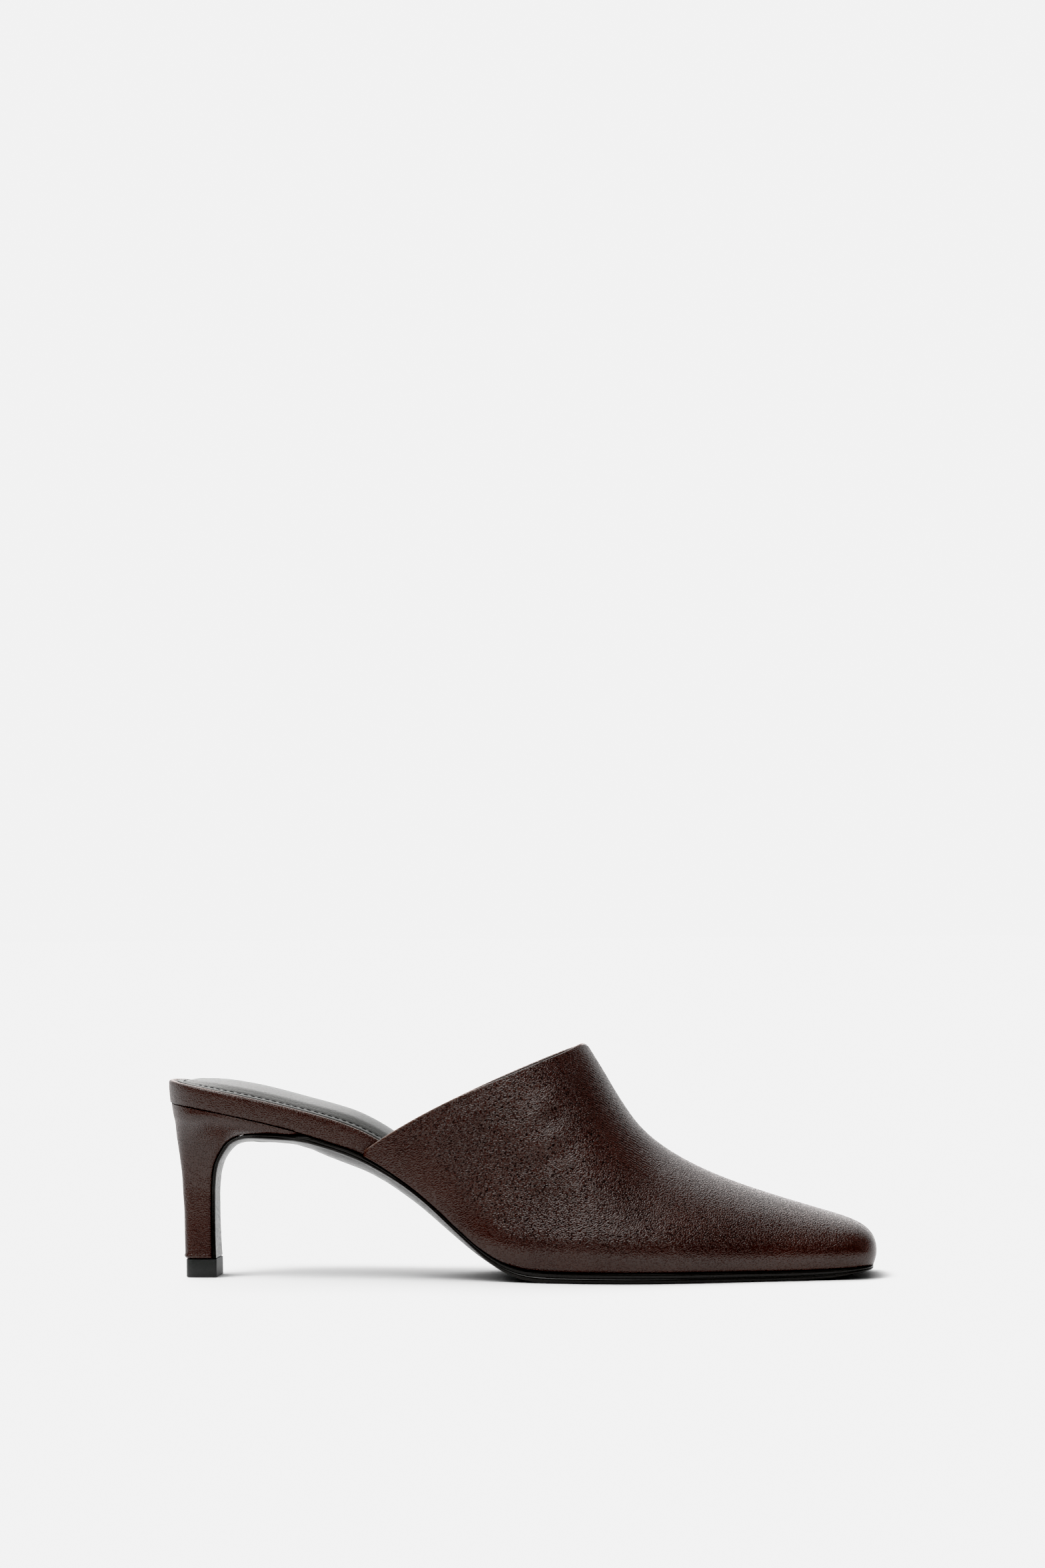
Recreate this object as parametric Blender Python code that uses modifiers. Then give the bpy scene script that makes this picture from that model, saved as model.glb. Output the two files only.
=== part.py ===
"""A square-toed heeled mule, the right shoe of a pair, about EU 38, standing on its sole.

Lengths in the tables are millimetres, in shoe measure: s runs along the shoe from the back of the seat
to the toe, y runs across it (outer side negative, inner side positive) and z runs up from the ground.
place() turns shoe measure into the scene's metres, with the origin under the middle of the shoe.
"""

import math

import bmesh
import bpy
import numpy as np

OUTER, INNER = -1, 1  # the two sides of the shoe, and the sign of y on each

# Driving sizes
MIDDLE_S = 123.3  # what lies over the origin
MIDDLE_Y = 0.0
WALL = 1.6  # upper: outside leather, lining and glue
GAP = 0.3  # between neighbouring pieces
SEAT_ROUND = 26.0  # length of the round back of the seat
TOE_ROUND_FROM, TOE_END = 225.0, 243.6  # where the board's toe starts to turn, and where it ends
SEAT_ORDER, TOE_ORDER = 2.1, 5.0  # superellipse orders: a round seat and a square toe

UPPER_BACK = 70.5  # foot of the upper's rearmost rib
THROAT_S, THROAT_FOOT = 146.2, 150.0  # the throat on the ridge, and the foot of its rib
FAN_FROM, FAN_TOP = 200.0, 232.0  # where the ribs start to turn towards the toe, and the last rib's top
FAN_LENGTH = 62.0  # what the stations of the turning ribs add up to, on either side
TUCK_HEIGHT = 6.0  # over this height the upper draws in to its foot
FAN_BLEND = 10.0  # along the toe's outline, how soon the ribs follow its direction
OUTLINE_STEP = 0.5  # half the arc that a direction of the outline is taken over
RIB_STEP = 0.5  # half the length that a slope of the ridge is taken over
SEAT_CLOSES, TOE_CLOSES = 0.05, 0.02  # how far inside an outline's ends its last sections lie

SOCK_INSET = 3.0
SOCK_EDGE = 0.5  # its thickness at the edge
SOCK_ROUND = 0.4
RIM_ROUND = 0.9
SOLE_CHAMFER = 0.6
ROUND_SHARE = 0.45  # of a section's narrower half, the most that its edges are rounded by
ARCH_GAP = 0.45  # between board and sole behind BALL_S, where both slope
BALL_S = 125.0
FLAP_CHAMFER, FLAP_LIP = 0.2, 0.3  # how far the flap's edge draws in against the heel, and in the open
FLAP_FULL = (0.2, 0.7)  # between these shares of its thickness the flap is at its full width
SOLE_WIDENS = (60.0, 80.0)  # where the sole goes from the board's outline to the upper's
SHANK_S = 50.0  # the sole's sections are upright ahead of this
HEEL_TOP_Z = 6.7  # bottom of the heel's leather, top of its tip
TIP_TOP_Z = 6.4
TIP_BACK, TIP_FRONT, TIP_HALF = 6.1, 17.2, 8.0
TIP_CHAMFER = 0.3
TIP_ORDERS = (5.0, 30.0)  # superellipse orders of its back and front


class Table:
    """Rows of named columns, read at any s along a smooth curve that never overshoots the rows."""

    def __init__(self, columns, rows):
        self.names = columns.split()
        self.rows = np.array(rows, float)

    def __call__(self, name, s):
        xs, ys = self.rows[:, 0], self.rows[:, self.names.index(name)]
        step = np.diff(xs)
        rise = np.diff(ys) / step
        slope = np.concatenate([rise[:1], np.zeros(len(xs) - 2), rise[-1:]])
        same = rise[:-1] * rise[1:] > 0
        slope[1:-1][same] = 2 / (1 / rise[:-1][same] + 1 / rise[1:][same])
        s = min(max(s, xs[0]), xs[-1])
        i = min(int(np.searchsorted(xs, s, side="right")) - 1, len(xs) - 2)
        t = (s - xs[i]) / step[i]
        return float(
            ys[i] * (1 + 2 * t) * (1 - t) ** 2
            + ys[i + 1] * t * t * (3 - 2 * t)
            + slope[i] * step[i] * t * (1 - t) ** 2
            + slope[i + 1] * step[i] * t * t * (t - 1)
        )


# The covered insole board: half widths before its ends are rounded, underside and top edge
BOARD = Table("s outer inner under over", [
    (0, 25.2, 25.2, 61.2, 69.2),
    (12, 25.2, 25.2, 59.4, 67.2),
    (24, 25.2, 25.2, 57.2, 64.8),
    (36, 25.1, 24.9, 54.5, 62.1),
    (48, 24.2, 23.5, 51.2, 59.0),
    (58, 23.0, 21.7, 47.9, 56.1),
    (66, 22.1, 20.3, 45.1, 53.2),
    (72, 21.6, 19.2, 42.2, 50.4),
    (80, 21.2, 18.0, 37.2, 45.6),
    (88, 21.3, 17.2, 31.3, 39.1),
    (96, 22.0, 17.1, 24.5, 31.5),
    (104, 23.3, 17.9, 17.3, 23.7),
    (112, 25.2, 19.6, 11.1, 16.8),
    (120, 27.6, 22.2, 6.8, 11.7),
    (128, 30.0, 25.4, 4.8, 9.0),
    (138, 32.9, 29.6, 4.3, 7.7),
    (150, 35.3, 33.6, 4.2, 7.3),
    (162, 36.0, 35.6, 4.1, 7.1),
    (174, 35.0, 36.0, 4.0, 7.0),
    (188, 31.9, 34.2, 3.9, 6.9),
    (202, 28.0, 30.9, 3.8, 6.8),
    (216, 24.0, 27.0, 3.7, 6.7),
    (230, 20.4, 23.3, 3.9, 6.9),
    (244, 17.6, 20.4, 4.5, 7.4),
])

# The ridge of the last, and the ribs that drop from it. Behind the throat the ridge is the line that
# the instep would follow, and the topline cuts the ribs below it. A rib starts at its foot towards a
# shoulder that stands lean outside the foot at the ridge's height; square says how near it passes.
RIDGE = Table("s height offset lean square tuck", [
    (70, 206.0, 0.0, 0.5, 0.40, 0.0),
    (100, 157.0, 0.4, 0.4, 0.39, 0.3),
    (120, 124.5, 0.8, 0.2, 0.37, 0.7),
    (146, 81.5, 1.2, 0.0, 0.335, 0.9),
    (152, 71.6, 1.4, 0.0, 0.335, 0.9),
    (158, 61.4, 1.6, 0.0, 0.345, 0.9),
    (164, 52.8, 1.8, 0.0, 0.36, 0.9),
    (170, 47.0, 2.0, 0.0, 0.38, 0.9),
    (178, 41.5, 2.2, 0.0, 0.41, 0.9),
    (188, 36.3, 2.4, 0.0, 0.44, 0.9),
    (200, 31.5, 2.4, 0.1, 0.46, 0.9),
    (212, 27.5, 2.2, 0.4, 0.48, 0.9),
    (224, 23.8, 1.9, 1.1, 0.53, 0.9),
    (232, 21.4, 1.7, 1.5, 0.60, 0.9),
    (240, 19.0, 1.6, 1.5, 0.60, 0.9),
])

TOPLINE = Table("s height", [
    (70.5, 44.7),
    (76, 48.4),
    (82, 52.1),
    (92, 57.7),
    (103, 63.2),
    (115, 68.7),
    (127, 73.8),
    (138, 78.2),
    (146.2, 81.2),
])

# Padding of the sock above its own edge
SOCK = Table("s crown", [
    (0, 0.0), (6, 0.1), (10, 0.5), (17, 1.7), (24, 2.4), (34, 2.7), (48, 2.6), (58, 2.8), (66, 3.1),
    (90, 2.4), (120, 1.0), (244, 0.6),
])

# The sole ahead of the shank: its underside at the edge, and how far its middle bulges below that
SOLE = Table("s edge bulge", [
    (50, 47.8, 3.2),
    (58, 45.4, 4.4),
    (64, 43.3, 4.6),
    (70, 40.8, 4.5),
    (76, 37.6, 4.5),
    (84, 32.6, 4.9),
    (92, 26.3, 4.9),
    (100, 18.9, 4.4),
    (108, 11.6, 3.5),
    (114, 6.6, 2.1),
    (120, 3.0, 0.9),
    (126, 0.9, 0.2),
    (132, 0.1, 0.0),
    (138, 0.0, 0.0),
    (208, 0.0, 0.0),
    (216, 0.1, 0.0),
    (222, 0.2, 0.0),
    (229, 0.5, 0.0),
    (234, 1.1, 0.0),
    (238, 1.8, 0.0),
    (242, 2.5, 0.0),
    (246, 3.2, 0.0),
])

# The flap that carries the sole on under the heel's wedge and down its breast: a section for each row,
# by its edge against the heel, its edge in the open, its half width, and how far its middle bulges
FLAP = [
    # back_s, back_z, front_s, front_z, half, bulge
    (46.6, 49.45, 46.3, 48.35, 23.2, 2.6),
    (42.6, 49.9, 42.3, 48.6, 22.6, 2.3),
    (38.1, 50.15, 37.9, 48.85, 21.5, 2.2),
    (33.1, 50.1, 33.1, 49.0, 19.6, 2.3),
    (29.1, 49.8, 29.6, 48.9, 17.2, 2.3),
    (25.4, 48.9, 26.1, 48.2, 14.4, 1.9),
    (22.0, 47.1, 22.8, 46.6, 11.8, 1.3),
    (19.3, 43.8, 20.2, 43.5, 9.8, 0.7),
    (17.1, 39.6, 18.0, 39.4, 8.3, 0.3),
    (16.1, 35.0, 17.0, 34.9, 7.1, 0.1),
    (15.7, 28.6, 16.6, 28.6, 6.5, 0.0),
    (15.7, 21.6, 16.6, 21.6, 6.7, 0.0),
    (15.8, 14.6, 16.7, 14.6, 7.3, 0.0),
    (16.1, HEEL_TOP_Z, 17.0, HEEL_TOP_Z, 8.0, 0.0),
]

# The heel from its seat down: where each section's back and front lie, how far its middle bows up,
# its half width, and the superellipse orders of its back and front
HEEL = [
    # back_s, back_z, front_s, front_z, bow, half, back_order, front_order
    (1.0, 60.6, 50.0, 50.25, 1.1, 24.8, 2.2, 9.0),
    (1.1, 59.8, 47.0, 49.9, 1.0, 24.6, 2.2, 9.0),
    (1.4, 58.3, 38.5, 50.55, 0.6, 23.3, 2.2, 9.0),
    (1.75, 56.5, 33.2, 50.45, 0.4, 21.5, 2.3, 9.0),
    (2.3, 54.3, 28.9, 50.15, 0.2, 19.0, 2.4, 9.0),
    (2.6, 51.7, 25.1, 49.3, 0.1, 16.3, 2.6, 10.0),
    (2.9, 48.7, 21.7, 47.4, 0.0, 13.7, 2.8, 12.0),
    (3.4, 44.9, 18.9, 44.0, 0.0, 11.2, 3.0, 14.0),
    (4.0, 40.0, 16.7, 39.6, 0.0, 9.2, 3.2, 14.0),
    (4.5, 35.1, 15.7, 35.0, 0.0, 8.0, 3.3, 14.0),
    (4.8, 28.7, 15.35, 28.6, 0.0, 7.3, 3.4, 14.0),
    (5.2, 21.7, 15.3, 21.6, 0.0, 7.3, 3.4, 14.0),
    (5.3, 14.7, 15.45, 14.6, 0.0, 7.7, 3.4, 14.0),
    (5.5, HEEL_TOP_Z, 15.7, HEEL_TOP_Z, 0.0, 8.3, 3.4, 14.0),
]

# Mesh densities
UPPER_ROWS = 9
UPPER_BACK_RIBS, UPPER_VAMP_RIBS, UPPER_TOE_RIBS = 14, 13, 14
SECTION_STEPS = 6  # across the top of the sock and the underside of the sole
HEEL_POINTS = 32


def place(s, y, z):
    """Shoe millimetres as scene metres."""
    return ((s - MIDDLE_S) / 1000, (y - MIDDLE_Y) / 1000, z / 1000)


# ---------------------------------------------------------------- outlines


def end_round(s, inset=0.0):
    """What share of the half width is left at s, where the outline closes round the seat and the toe."""
    back, front = SEAT_ROUND, TOE_END - TOE_ROUND_FROM - inset
    if s < SEAT_ROUND:
        part = min((SEAT_ROUND - s) / (back - inset), 1.0)
        return (1 - part**SEAT_ORDER) ** (1 / SEAT_ORDER)
    if s > TOE_ROUND_FROM:
        part = min((s - TOE_ROUND_FROM) / front, 1.0)
        return (1 - part**TOE_ORDER) ** (1 / TOE_ORDER)
    return 1.0


def half_width(side, s, inset=0.0):
    """The board's half width at s on one side, or that of an outline inset inside it."""
    full = BOARD("outer" if side == OUTER else "inner", s) - inset
    return full * end_round(s, inset)


def end_stations(first, last, order, count):
    """Stations that crowd from first towards last, for an outline that closes at last."""
    turns = [math.pi / 2 * k / count for k in range(1, count)]
    return [first + (last - first) * math.sin(turn) ** (2 / order) for turn in turns]


def stations(inset=0.0, middle_step=8.0):
    """Section stations for a piece of the board's outline, from the seat's back to the toe's front."""
    seat = end_stations(SEAT_ROUND, inset, SEAT_ORDER, 8)[::-1]
    count = round((TOE_ROUND_FROM - SEAT_ROUND) / middle_step)
    middle = list(np.linspace(SEAT_ROUND, TOE_ROUND_FROM, count + 1))
    toe = end_stations(TOE_ROUND_FROM, TOE_END - inset, TOE_ORDER, 7)
    return [inset + SEAT_CLOSES] + seat + middle + toe + [TOE_END - inset - TOE_CLOSES]


# ---------------------------------------------------------------- the upper's surface


def toe_line(side):
    """The board's outline on one side from FAN_FROM to the middle of the toe, as points and arc lengths."""
    turns = np.linspace(0, math.pi / 2, 200)
    ends = TOE_ROUND_FROM + (TOE_END - TOE_ROUND_FROM) * np.sin(turns) ** (2 / TOE_ORDER)
    lengthwise = np.concatenate([np.linspace(FAN_FROM, TOE_ROUND_FROM, 40)[:-1], ends])
    points = np.array([(s, side * half_width(side, s)) for s in lengthwise])
    arcs = np.concatenate([[0], np.cumsum(np.hypot(*np.diff(points, axis=0).T))])
    return points, arcs


TOE_LINES = {side: toe_line(side) for side in (OUTER, INNER)}


def foot_of(side, station):
    """A rib's foot, without its height, and the outward direction there.

    Up to FAN_FROM a station is s itself; past it, it goes by shares of the toe's outline."""
    if station <= FAN_FROM:
        return np.array([station, side * half_width(side, station)]), np.array([0.0, side])
    points, arcs = TOE_LINES[side]
    arc = arcs[-1] * (station - FAN_FROM) / FAN_LENGTH
    near = (arc - OUTLINE_STEP, arc, arc + OUTLINE_STEP)
    at = [np.array([np.interp(a, arcs, points[:, k]) for k in (0, 1)]) for a in near]
    along = at[2] - at[0]
    out = np.array([-along[1], along[0]]) * side / np.hypot(*along)
    fade = min(arc / FAN_BLEND, 1.0)
    out = out * fade + np.array([0.0, side]) * (1 - fade)
    return at[1], out / np.hypot(*out)


def ridge_station(station):
    """Where a rib meets the ridge: the tops of the fan's ribs crowd together towards FAN_TOP."""
    if station <= FAN_FROM:
        return station
    share = (station - FAN_FROM) / FAN_LENGTH
    return station - (FAN_LENGTH + FAN_FROM - FAN_TOP) * share**2


def toe_stations(count):
    """Stations for the toe's ribs, spaced half by the outline's length and half by how far it turns."""
    points, arcs = TOE_LINES[OUTER]
    steps = np.diff(points, axis=0)
    turned = np.abs(np.diff(np.arctan2(steps[:, 1], steps[:, 0])))
    turned = np.concatenate([[0, 0], np.cumsum(turned)])
    spread = arcs / arcs[-1] + turned / turned[-1]
    shares = [np.interp(2 * k / count, spread, arcs) / arcs[-1] for k in range(1, count + 1)]
    return [FAN_FROM + FAN_LENGTH * share for share in shares]


def rib(side, station):
    """The rib's foot, shoulder and top, and its conic's weight."""
    foot, out = foot_of(side, station)
    top = ridge_station(station)
    foot = foot + out * (WALL + GAP + RIDGE("tuck", top))
    shoulder = foot + out * RIDGE("lean", top)
    slope = (RIDGE("height", top + RIB_STEP) - RIDGE("height", top - RIB_STEP)) / (2 * RIB_STEP)
    height = RIDGE("height", top)
    square = RIDGE("square", top)
    lift = slope * (shoulder[0] - top) if station > FAN_FROM else 0.0
    return (
        np.array([*foot, BOARD("under", foot[0])]),
        np.array([*shoulder, height + lift]),
        np.array([top, RIDGE("offset", top), height]),
        square / (1 - square),
        out,
    )


def rib_point(side, station, t):
    """The point of a rib at t, 0 at its foot and 1 on the ridge."""
    foot, shoulder, top, weight, out = rib(side, station)
    a, b, c = (1 - t) ** 2, 2 * weight * t * (1 - t), t * t
    point = (a * foot + b * shoulder + c * top) / (a + b + c)
    low = 1 - min((point[2] - foot[2]) / TUCK_HEIGHT, 1.0)
    point[:2] -= out * RIDGE("tuck", top[0]) * low**2
    return point


def topline_t(side, s):
    """Where the topline crosses the rib at s, or 1 in front of the throat."""
    if s >= THROAT_S:
        return 1.0
    low, high = 0.0, 1.0
    for _ in range(30):
        middle = (low + high) / 2
        if rib_point(side, s, middle)[2] < TOPLINE("height", s):
            low = middle
        else:
            high = middle
    return low


def crossing(station):
    """Where the grid line that starts at this foot reaches the topline or the ridge.

    The lines fan out towards the throat, so that they meet the topline's tight bend squarely."""
    if station < THROAT_FOOT:
        back = (THROAT_FOOT - station) / (THROAT_FOOT - UPPER_BACK)
        return THROAT_S - (THROAT_S - UPPER_BACK - 0.5) * back**2
    if station < FAN_FROM:
        ahead = (station - THROAT_FOOT) / (FAN_FROM - THROAT_FOOT)
        return THROAT_S + (FAN_FROM - THROAT_S) * ahead
    return station


def upper_line(side, station, rows):
    """Points up the outside of the upper, from its foot to the topline or the ridge."""
    end = crossing(station)
    if station >= FAN_FROM:
        return [rib_point(side, station, v) for v in np.linspace(0, 1, rows + 1)]
    last = topline_t(side, end)
    return [rib_point(side, station + (end - station) * v, last * v) for v in np.linspace(0, 1, rows + 1)]


# ---------------------------------------------------------------- Blender helpers


def material(name, colour, roughness):
    made = bpy.data.materials.new(name)
    made.use_nodes = True
    shader = made.node_tree.nodes["Principled BSDF"]
    shader.inputs["Base Color"].default_value = (*colour, 1)
    shader.inputs["Roughness"].default_value = roughness
    shader.inputs["Metallic"].default_value = 0.0
    return made


def add_object(name, vertices, faces, finish):
    """An object of this mesh, in the shoe's collection, with doubled points joined."""
    mesh = bpy.data.meshes.new(name)
    mesh.from_pydata([place(*v) for v in vertices], [], faces)
    work = bmesh.new()
    work.from_mesh(mesh)
    bmesh.ops.remove_doubles(work, verts=work.verts, dist=1e-6)
    work.to_mesh(mesh)
    work.free()
    mesh.materials.append(finish)
    mesh.shade_smooth()
    mesh.set_sharp_from_angle(angle=math.radians(40))
    made = bpy.data.objects.new(name, mesh)
    bpy.data.collections["heeled_mule"].objects.link(made)
    return made


def loft(name, rings, finish):
    """A closed solid through rings of equal count. Each ring mirrors across the shoe, so a ladder of
    faces from side to side closes either end."""
    count = len(rings[0])
    vertices = [point for ring in rings for point in ring]
    faces = []
    for r in range(len(rings) - 1):
        for k in range(count):
            a, b = r * count + k, r * count + (k + 1) % count
            faces.append((a, b, b + count, a + count))
    last = (len(rings) - 1) * count
    for k in range((count - 1) // 2):
        rung = list(dict.fromkeys((k, k + 1, count - 2 - k, count - 1 - k)))
        faces.append(rung[::-1])
        faces.append([last + point for point in rung])
    return add_object(name, vertices, faces, finish)


# ---------------------------------------------------------------- pieces


def make_upper(finish):
    """The vamp: an open sheet over the last, open at the collar and underneath, thickened inwards."""
    back = np.linspace(UPPER_BACK, THROAT_FOOT, UPPER_BACK_RIBS + 1)
    vamp = np.linspace(THROAT_FOOT, FAN_FROM, UPPER_VAMP_RIBS + 1)[1:]
    vertices, faces = [], []
    for side in (OUTER, INNER):
        ribs = [*back, *vamp, *toe_stations(UPPER_TOE_RIBS)]
        lines = [upper_line(side, station, UPPER_ROWS) for station in ribs]
        start, width = len(vertices), UPPER_ROWS + 1
        vertices += [point for line in lines for point in line]
        for i in range(len(lines) - 1):
            for j in range(UPPER_ROWS):
                a = start + i * width + j
                quad = (a, a + width, a + width + 1, a + 1)
                faces.append(quad if side == OUTER else quad[::-1])
    upper = add_object("upper", vertices, faces, finish)
    wall = upper.modifiers.new("wall", "SOLIDIFY")
    wall.thickness = WALL / 1000
    wall.offset = -1
    wall.use_even_offset = True
    return upper


def plate_ring(s, widths, under, over, crown, rounding, steps):
    """A flat piece's section at s: a straight underside, rounded edges and a crowned top."""
    outer, inner = widths
    edge = min(rounding, ROUND_SHARE * min(outer, inner))
    lower = [(-outer + edge, under), (-outer, under + edge), (-outer, over - edge)]
    across = np.linspace(-1, 1, steps + 1)
    top = []
    for part in across:
        y = part * ((outer if part < 0 else inner) - edge)
        top.append((y, over + crown * (1 - part * part)))
    upper_part = [(inner, over - edge), (inner, under + edge), (inner - edge, under)]
    return [(s, y, z) for y, z in lower + top + upper_part]


def make_board(finish):
    """The insole board in its leather cover. Its edge is the band under the sock."""
    rings = []
    for s in stations()[::-1]:
        widths = half_width(OUTER, s), half_width(INNER, s)
        rings.append(plate_ring(s, widths, BOARD("under", s), BOARD("over", s), 0.0, RIM_ROUND, 2))
    return loft("insole_board", rings, finish)


def make_sock(finish):
    """The padded sock: thin at its edge, crowned along the seat and the arch."""
    rings = []
    for s in stations(SOCK_INSET)[::-1]:
        widths = half_width(OUTER, s, SOCK_INSET), half_width(INNER, s, SOCK_INSET)
        under = BOARD("over", s) + GAP
        share = min(widths) / (BOARD("inner", s) - SOCK_INSET)
        crown = SOCK("crown", s) * min(share, 1.0)
        rings.append(plate_ring(s, widths, under, under + SOCK_EDGE, crown, SOCK_ROUND, SECTION_STEPS))
    return loft("sock", rings, finish)


def sole_ring(s):
    """The sole's upright section at s. It widens from the board's outline to the upper's."""
    top = BOARD("under", s) - (ARCH_GAP if s < BALL_S else GAP)
    bottom = SOLE("edge", s)
    wider = (WALL + GAP) * min(max((s - SOLE_WIDENS[0]) / (SOLE_WIDENS[1] - SOLE_WIDENS[0]), 0.0), 1.0)
    outer, inner = (half_width(side, s, -wider) for side in (OUTER, INNER))
    edge = min(SOLE_CHAMFER, ROUND_SHARE * min(outer, inner))
    ring = [(-outer + edge, top), (inner - edge, top), (inner, top - edge / 2), (inner, bottom + edge)]
    for part in np.linspace(1, -1, SECTION_STEPS + 1):
        y = part * ((outer if part < 0 else inner) - edge)
        ring.append((y, bottom - SOLE("bulge", s) * (1 - part * part)))
    ring += [(-outer, bottom + edge), (-outer, top - edge / 2)]
    return [(s, y, z) for y, z in ring[1:] + ring[:1]]


def flap_ring(back_s, back_z, front_s, front_z, half, bulge):
    """The flap's section between its edge on the heel and its edge in the open."""
    back, front = np.array([back_s, back_z]), np.array([front_s, front_z])
    side = [(half - FLAP_CHAMFER, back)] + [(half, back + (front - back) * share) for share in FLAP_FULL]
    out = (front - back) / np.hypot(*(front - back))
    open_face = []
    for part in np.linspace(1, -1, SECTION_STEPS + 1):
        open_face.append((part * (half - FLAP_LIP), front + out * bulge * (1 - part * part)))
    ring = side + open_face + [(-y, p) for y, p in side[::-1]]
    return [(p[0], y, p[1]) for y, p in ring]


def make_outsole(finish):
    """The sole from the toe, over the arch, under the heel's wedge and down its breast."""
    ahead = [s for s in stations(-WALL - GAP, middle_step=6.0) if s > SHANK_S - 0.01][::-1]
    rings = [sole_ring(s) for s in ahead] + [flap_ring(*row) for row in FLAP]
    return loft("outsole", rings, finish)


def heel_ring(back_s, back_z, front_s, front_z, bow, half, back_order, front_order):
    """A section of the heel: round or square at its back and front by its two orders."""
    middle, reach = (back_s + front_s) / 2, (front_s - back_s) / 2
    ring = []
    for k in range(HEEL_POINTS):
        turn = 2 * math.pi * (k + 0.5) / HEEL_POINTS
        power = 2 / (front_order if math.cos(turn) > 0 else back_order)
        along = math.copysign(abs(math.cos(turn)) ** power, math.cos(turn))
        across = math.copysign(abs(math.sin(turn)) ** power, math.sin(turn))
        z = (back_z + front_z) / 2 + (front_z - back_z) / 2 * along + bow * (1 - along * along)
        ring.append((middle + reach * along, half * across, z))
    return ring


def make_heel(finish):
    return loft("heel", [heel_ring(*row) for row in HEEL][::-1], finish)


def make_heel_tip(finish):
    """The rubber top piece under the heel and the flap, a little inside them all round."""
    rows = [(0.0, TIP_CHAMFER), (TIP_CHAMFER, 0.0), (TIP_TOP_Z, 0.0)]
    rings = []
    for z, inset in rows:
        ends = TIP_BACK + inset, z, TIP_FRONT - inset, z
        rings.append(heel_ring(*ends, 0.0, TIP_HALF - inset, *TIP_ORDERS))
    return loft("heel_tip", rings, finish)


def main():
    for old in list(bpy.data.objects):
        bpy.data.objects.remove(old, do_unlink=True)
    bpy.context.scene.collection.children.link(bpy.data.collections.new("heeled_mule"))
    brown = material("brown_leather", (0.045, 0.024, 0.019), 0.45)
    black = material("black_leather", (0.012, 0.012, 0.012), 0.5)
    gloss = material("black_sole", (0.008, 0.008, 0.008), 0.2)
    rubber = material("black_rubber", (0.022, 0.022, 0.022), 0.7)
    make_upper(brown)
    make_board(brown)
    make_sock(black)
    make_outsole(gloss)
    make_heel(brown)
    make_heel_tip(rubber)


main()
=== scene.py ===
"""The looks of the square-toed heeled mule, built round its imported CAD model.

Lengths in the tables are millimetres, in shoe measure, as in the part's own source: s runs along the shoe
from the back of the seat to the toe, y across it (outer side negative) and z up from the floor. place()
turns them into the frame's metres. Each piece but the stitches is the fine surface of one CAD node, which
it replaces. Lengths in the materials and the studio are metres.
"""

import math

import bmesh
import bpy
import numpy as np
from mathutils import Matrix


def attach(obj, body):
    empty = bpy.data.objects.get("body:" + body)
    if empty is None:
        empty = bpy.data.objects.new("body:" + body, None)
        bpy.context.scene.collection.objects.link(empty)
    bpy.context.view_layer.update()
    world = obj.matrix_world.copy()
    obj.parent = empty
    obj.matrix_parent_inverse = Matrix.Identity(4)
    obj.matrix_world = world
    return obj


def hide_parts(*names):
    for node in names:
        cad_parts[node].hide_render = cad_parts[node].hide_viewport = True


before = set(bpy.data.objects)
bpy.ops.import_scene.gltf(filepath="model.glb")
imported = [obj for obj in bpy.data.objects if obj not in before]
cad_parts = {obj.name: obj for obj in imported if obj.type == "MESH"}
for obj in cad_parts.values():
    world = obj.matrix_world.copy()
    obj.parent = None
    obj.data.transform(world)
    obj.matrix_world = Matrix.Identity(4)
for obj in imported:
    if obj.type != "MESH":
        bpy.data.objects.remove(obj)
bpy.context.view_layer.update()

OUTER, INNER = -1, 1

# ---- the shoe's sizes, as in the CAD source

MIDDLE_S = 123.3  # this s lies at the frame's x = 0
WALL = 1.6  # the upper's leather and lining together
GAP = 0.3  # between neighbouring solids
SEAT_ROUND = 26.0  # behind this s the outline closes round the seat
TOE_ROUND_FROM, TOE_END = 225.0, 243.6
SEAT_ORDER, TOE_ORDER = 2.1, 5.0  # 2 is an ellipse, and more is squarer
UPPER_BACK, TOPLINE_AHEAD = 70.5, 0.5  # the rearmost foot, and how far ahead of it the topline starts
THROAT_S, THROAT_FOOT = 146.2, 150.0  # the throat's corner, and the foot of the grid line that ends in it
FAN_FROM, FAN_END = 200.0, 262.0  # ribs between these fan out round the toe
FAN_TOP = 232.0  # where the last rib meets the ridge
FAN_FADE = 10.0  # over this length of outline the fan's ribs turn square with it
TUCK_HEIGHT = 6.0  # the upper is drawn in over this height at its foot
SOCK_INSET = 3.0
SOLE_WIDENS = (60.0, 80.0)  # between these the sole grows from the board's width to the upper's
SHANK_S = 50.0  # behind this the flap carries the sole on
HEEL_TOP_Z, TIP_TOP_Z = 6.7, 6.4
TIP_BACK, TIP_FRONT, TIP_HALF = 6.1, 17.2, 8.0


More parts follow.
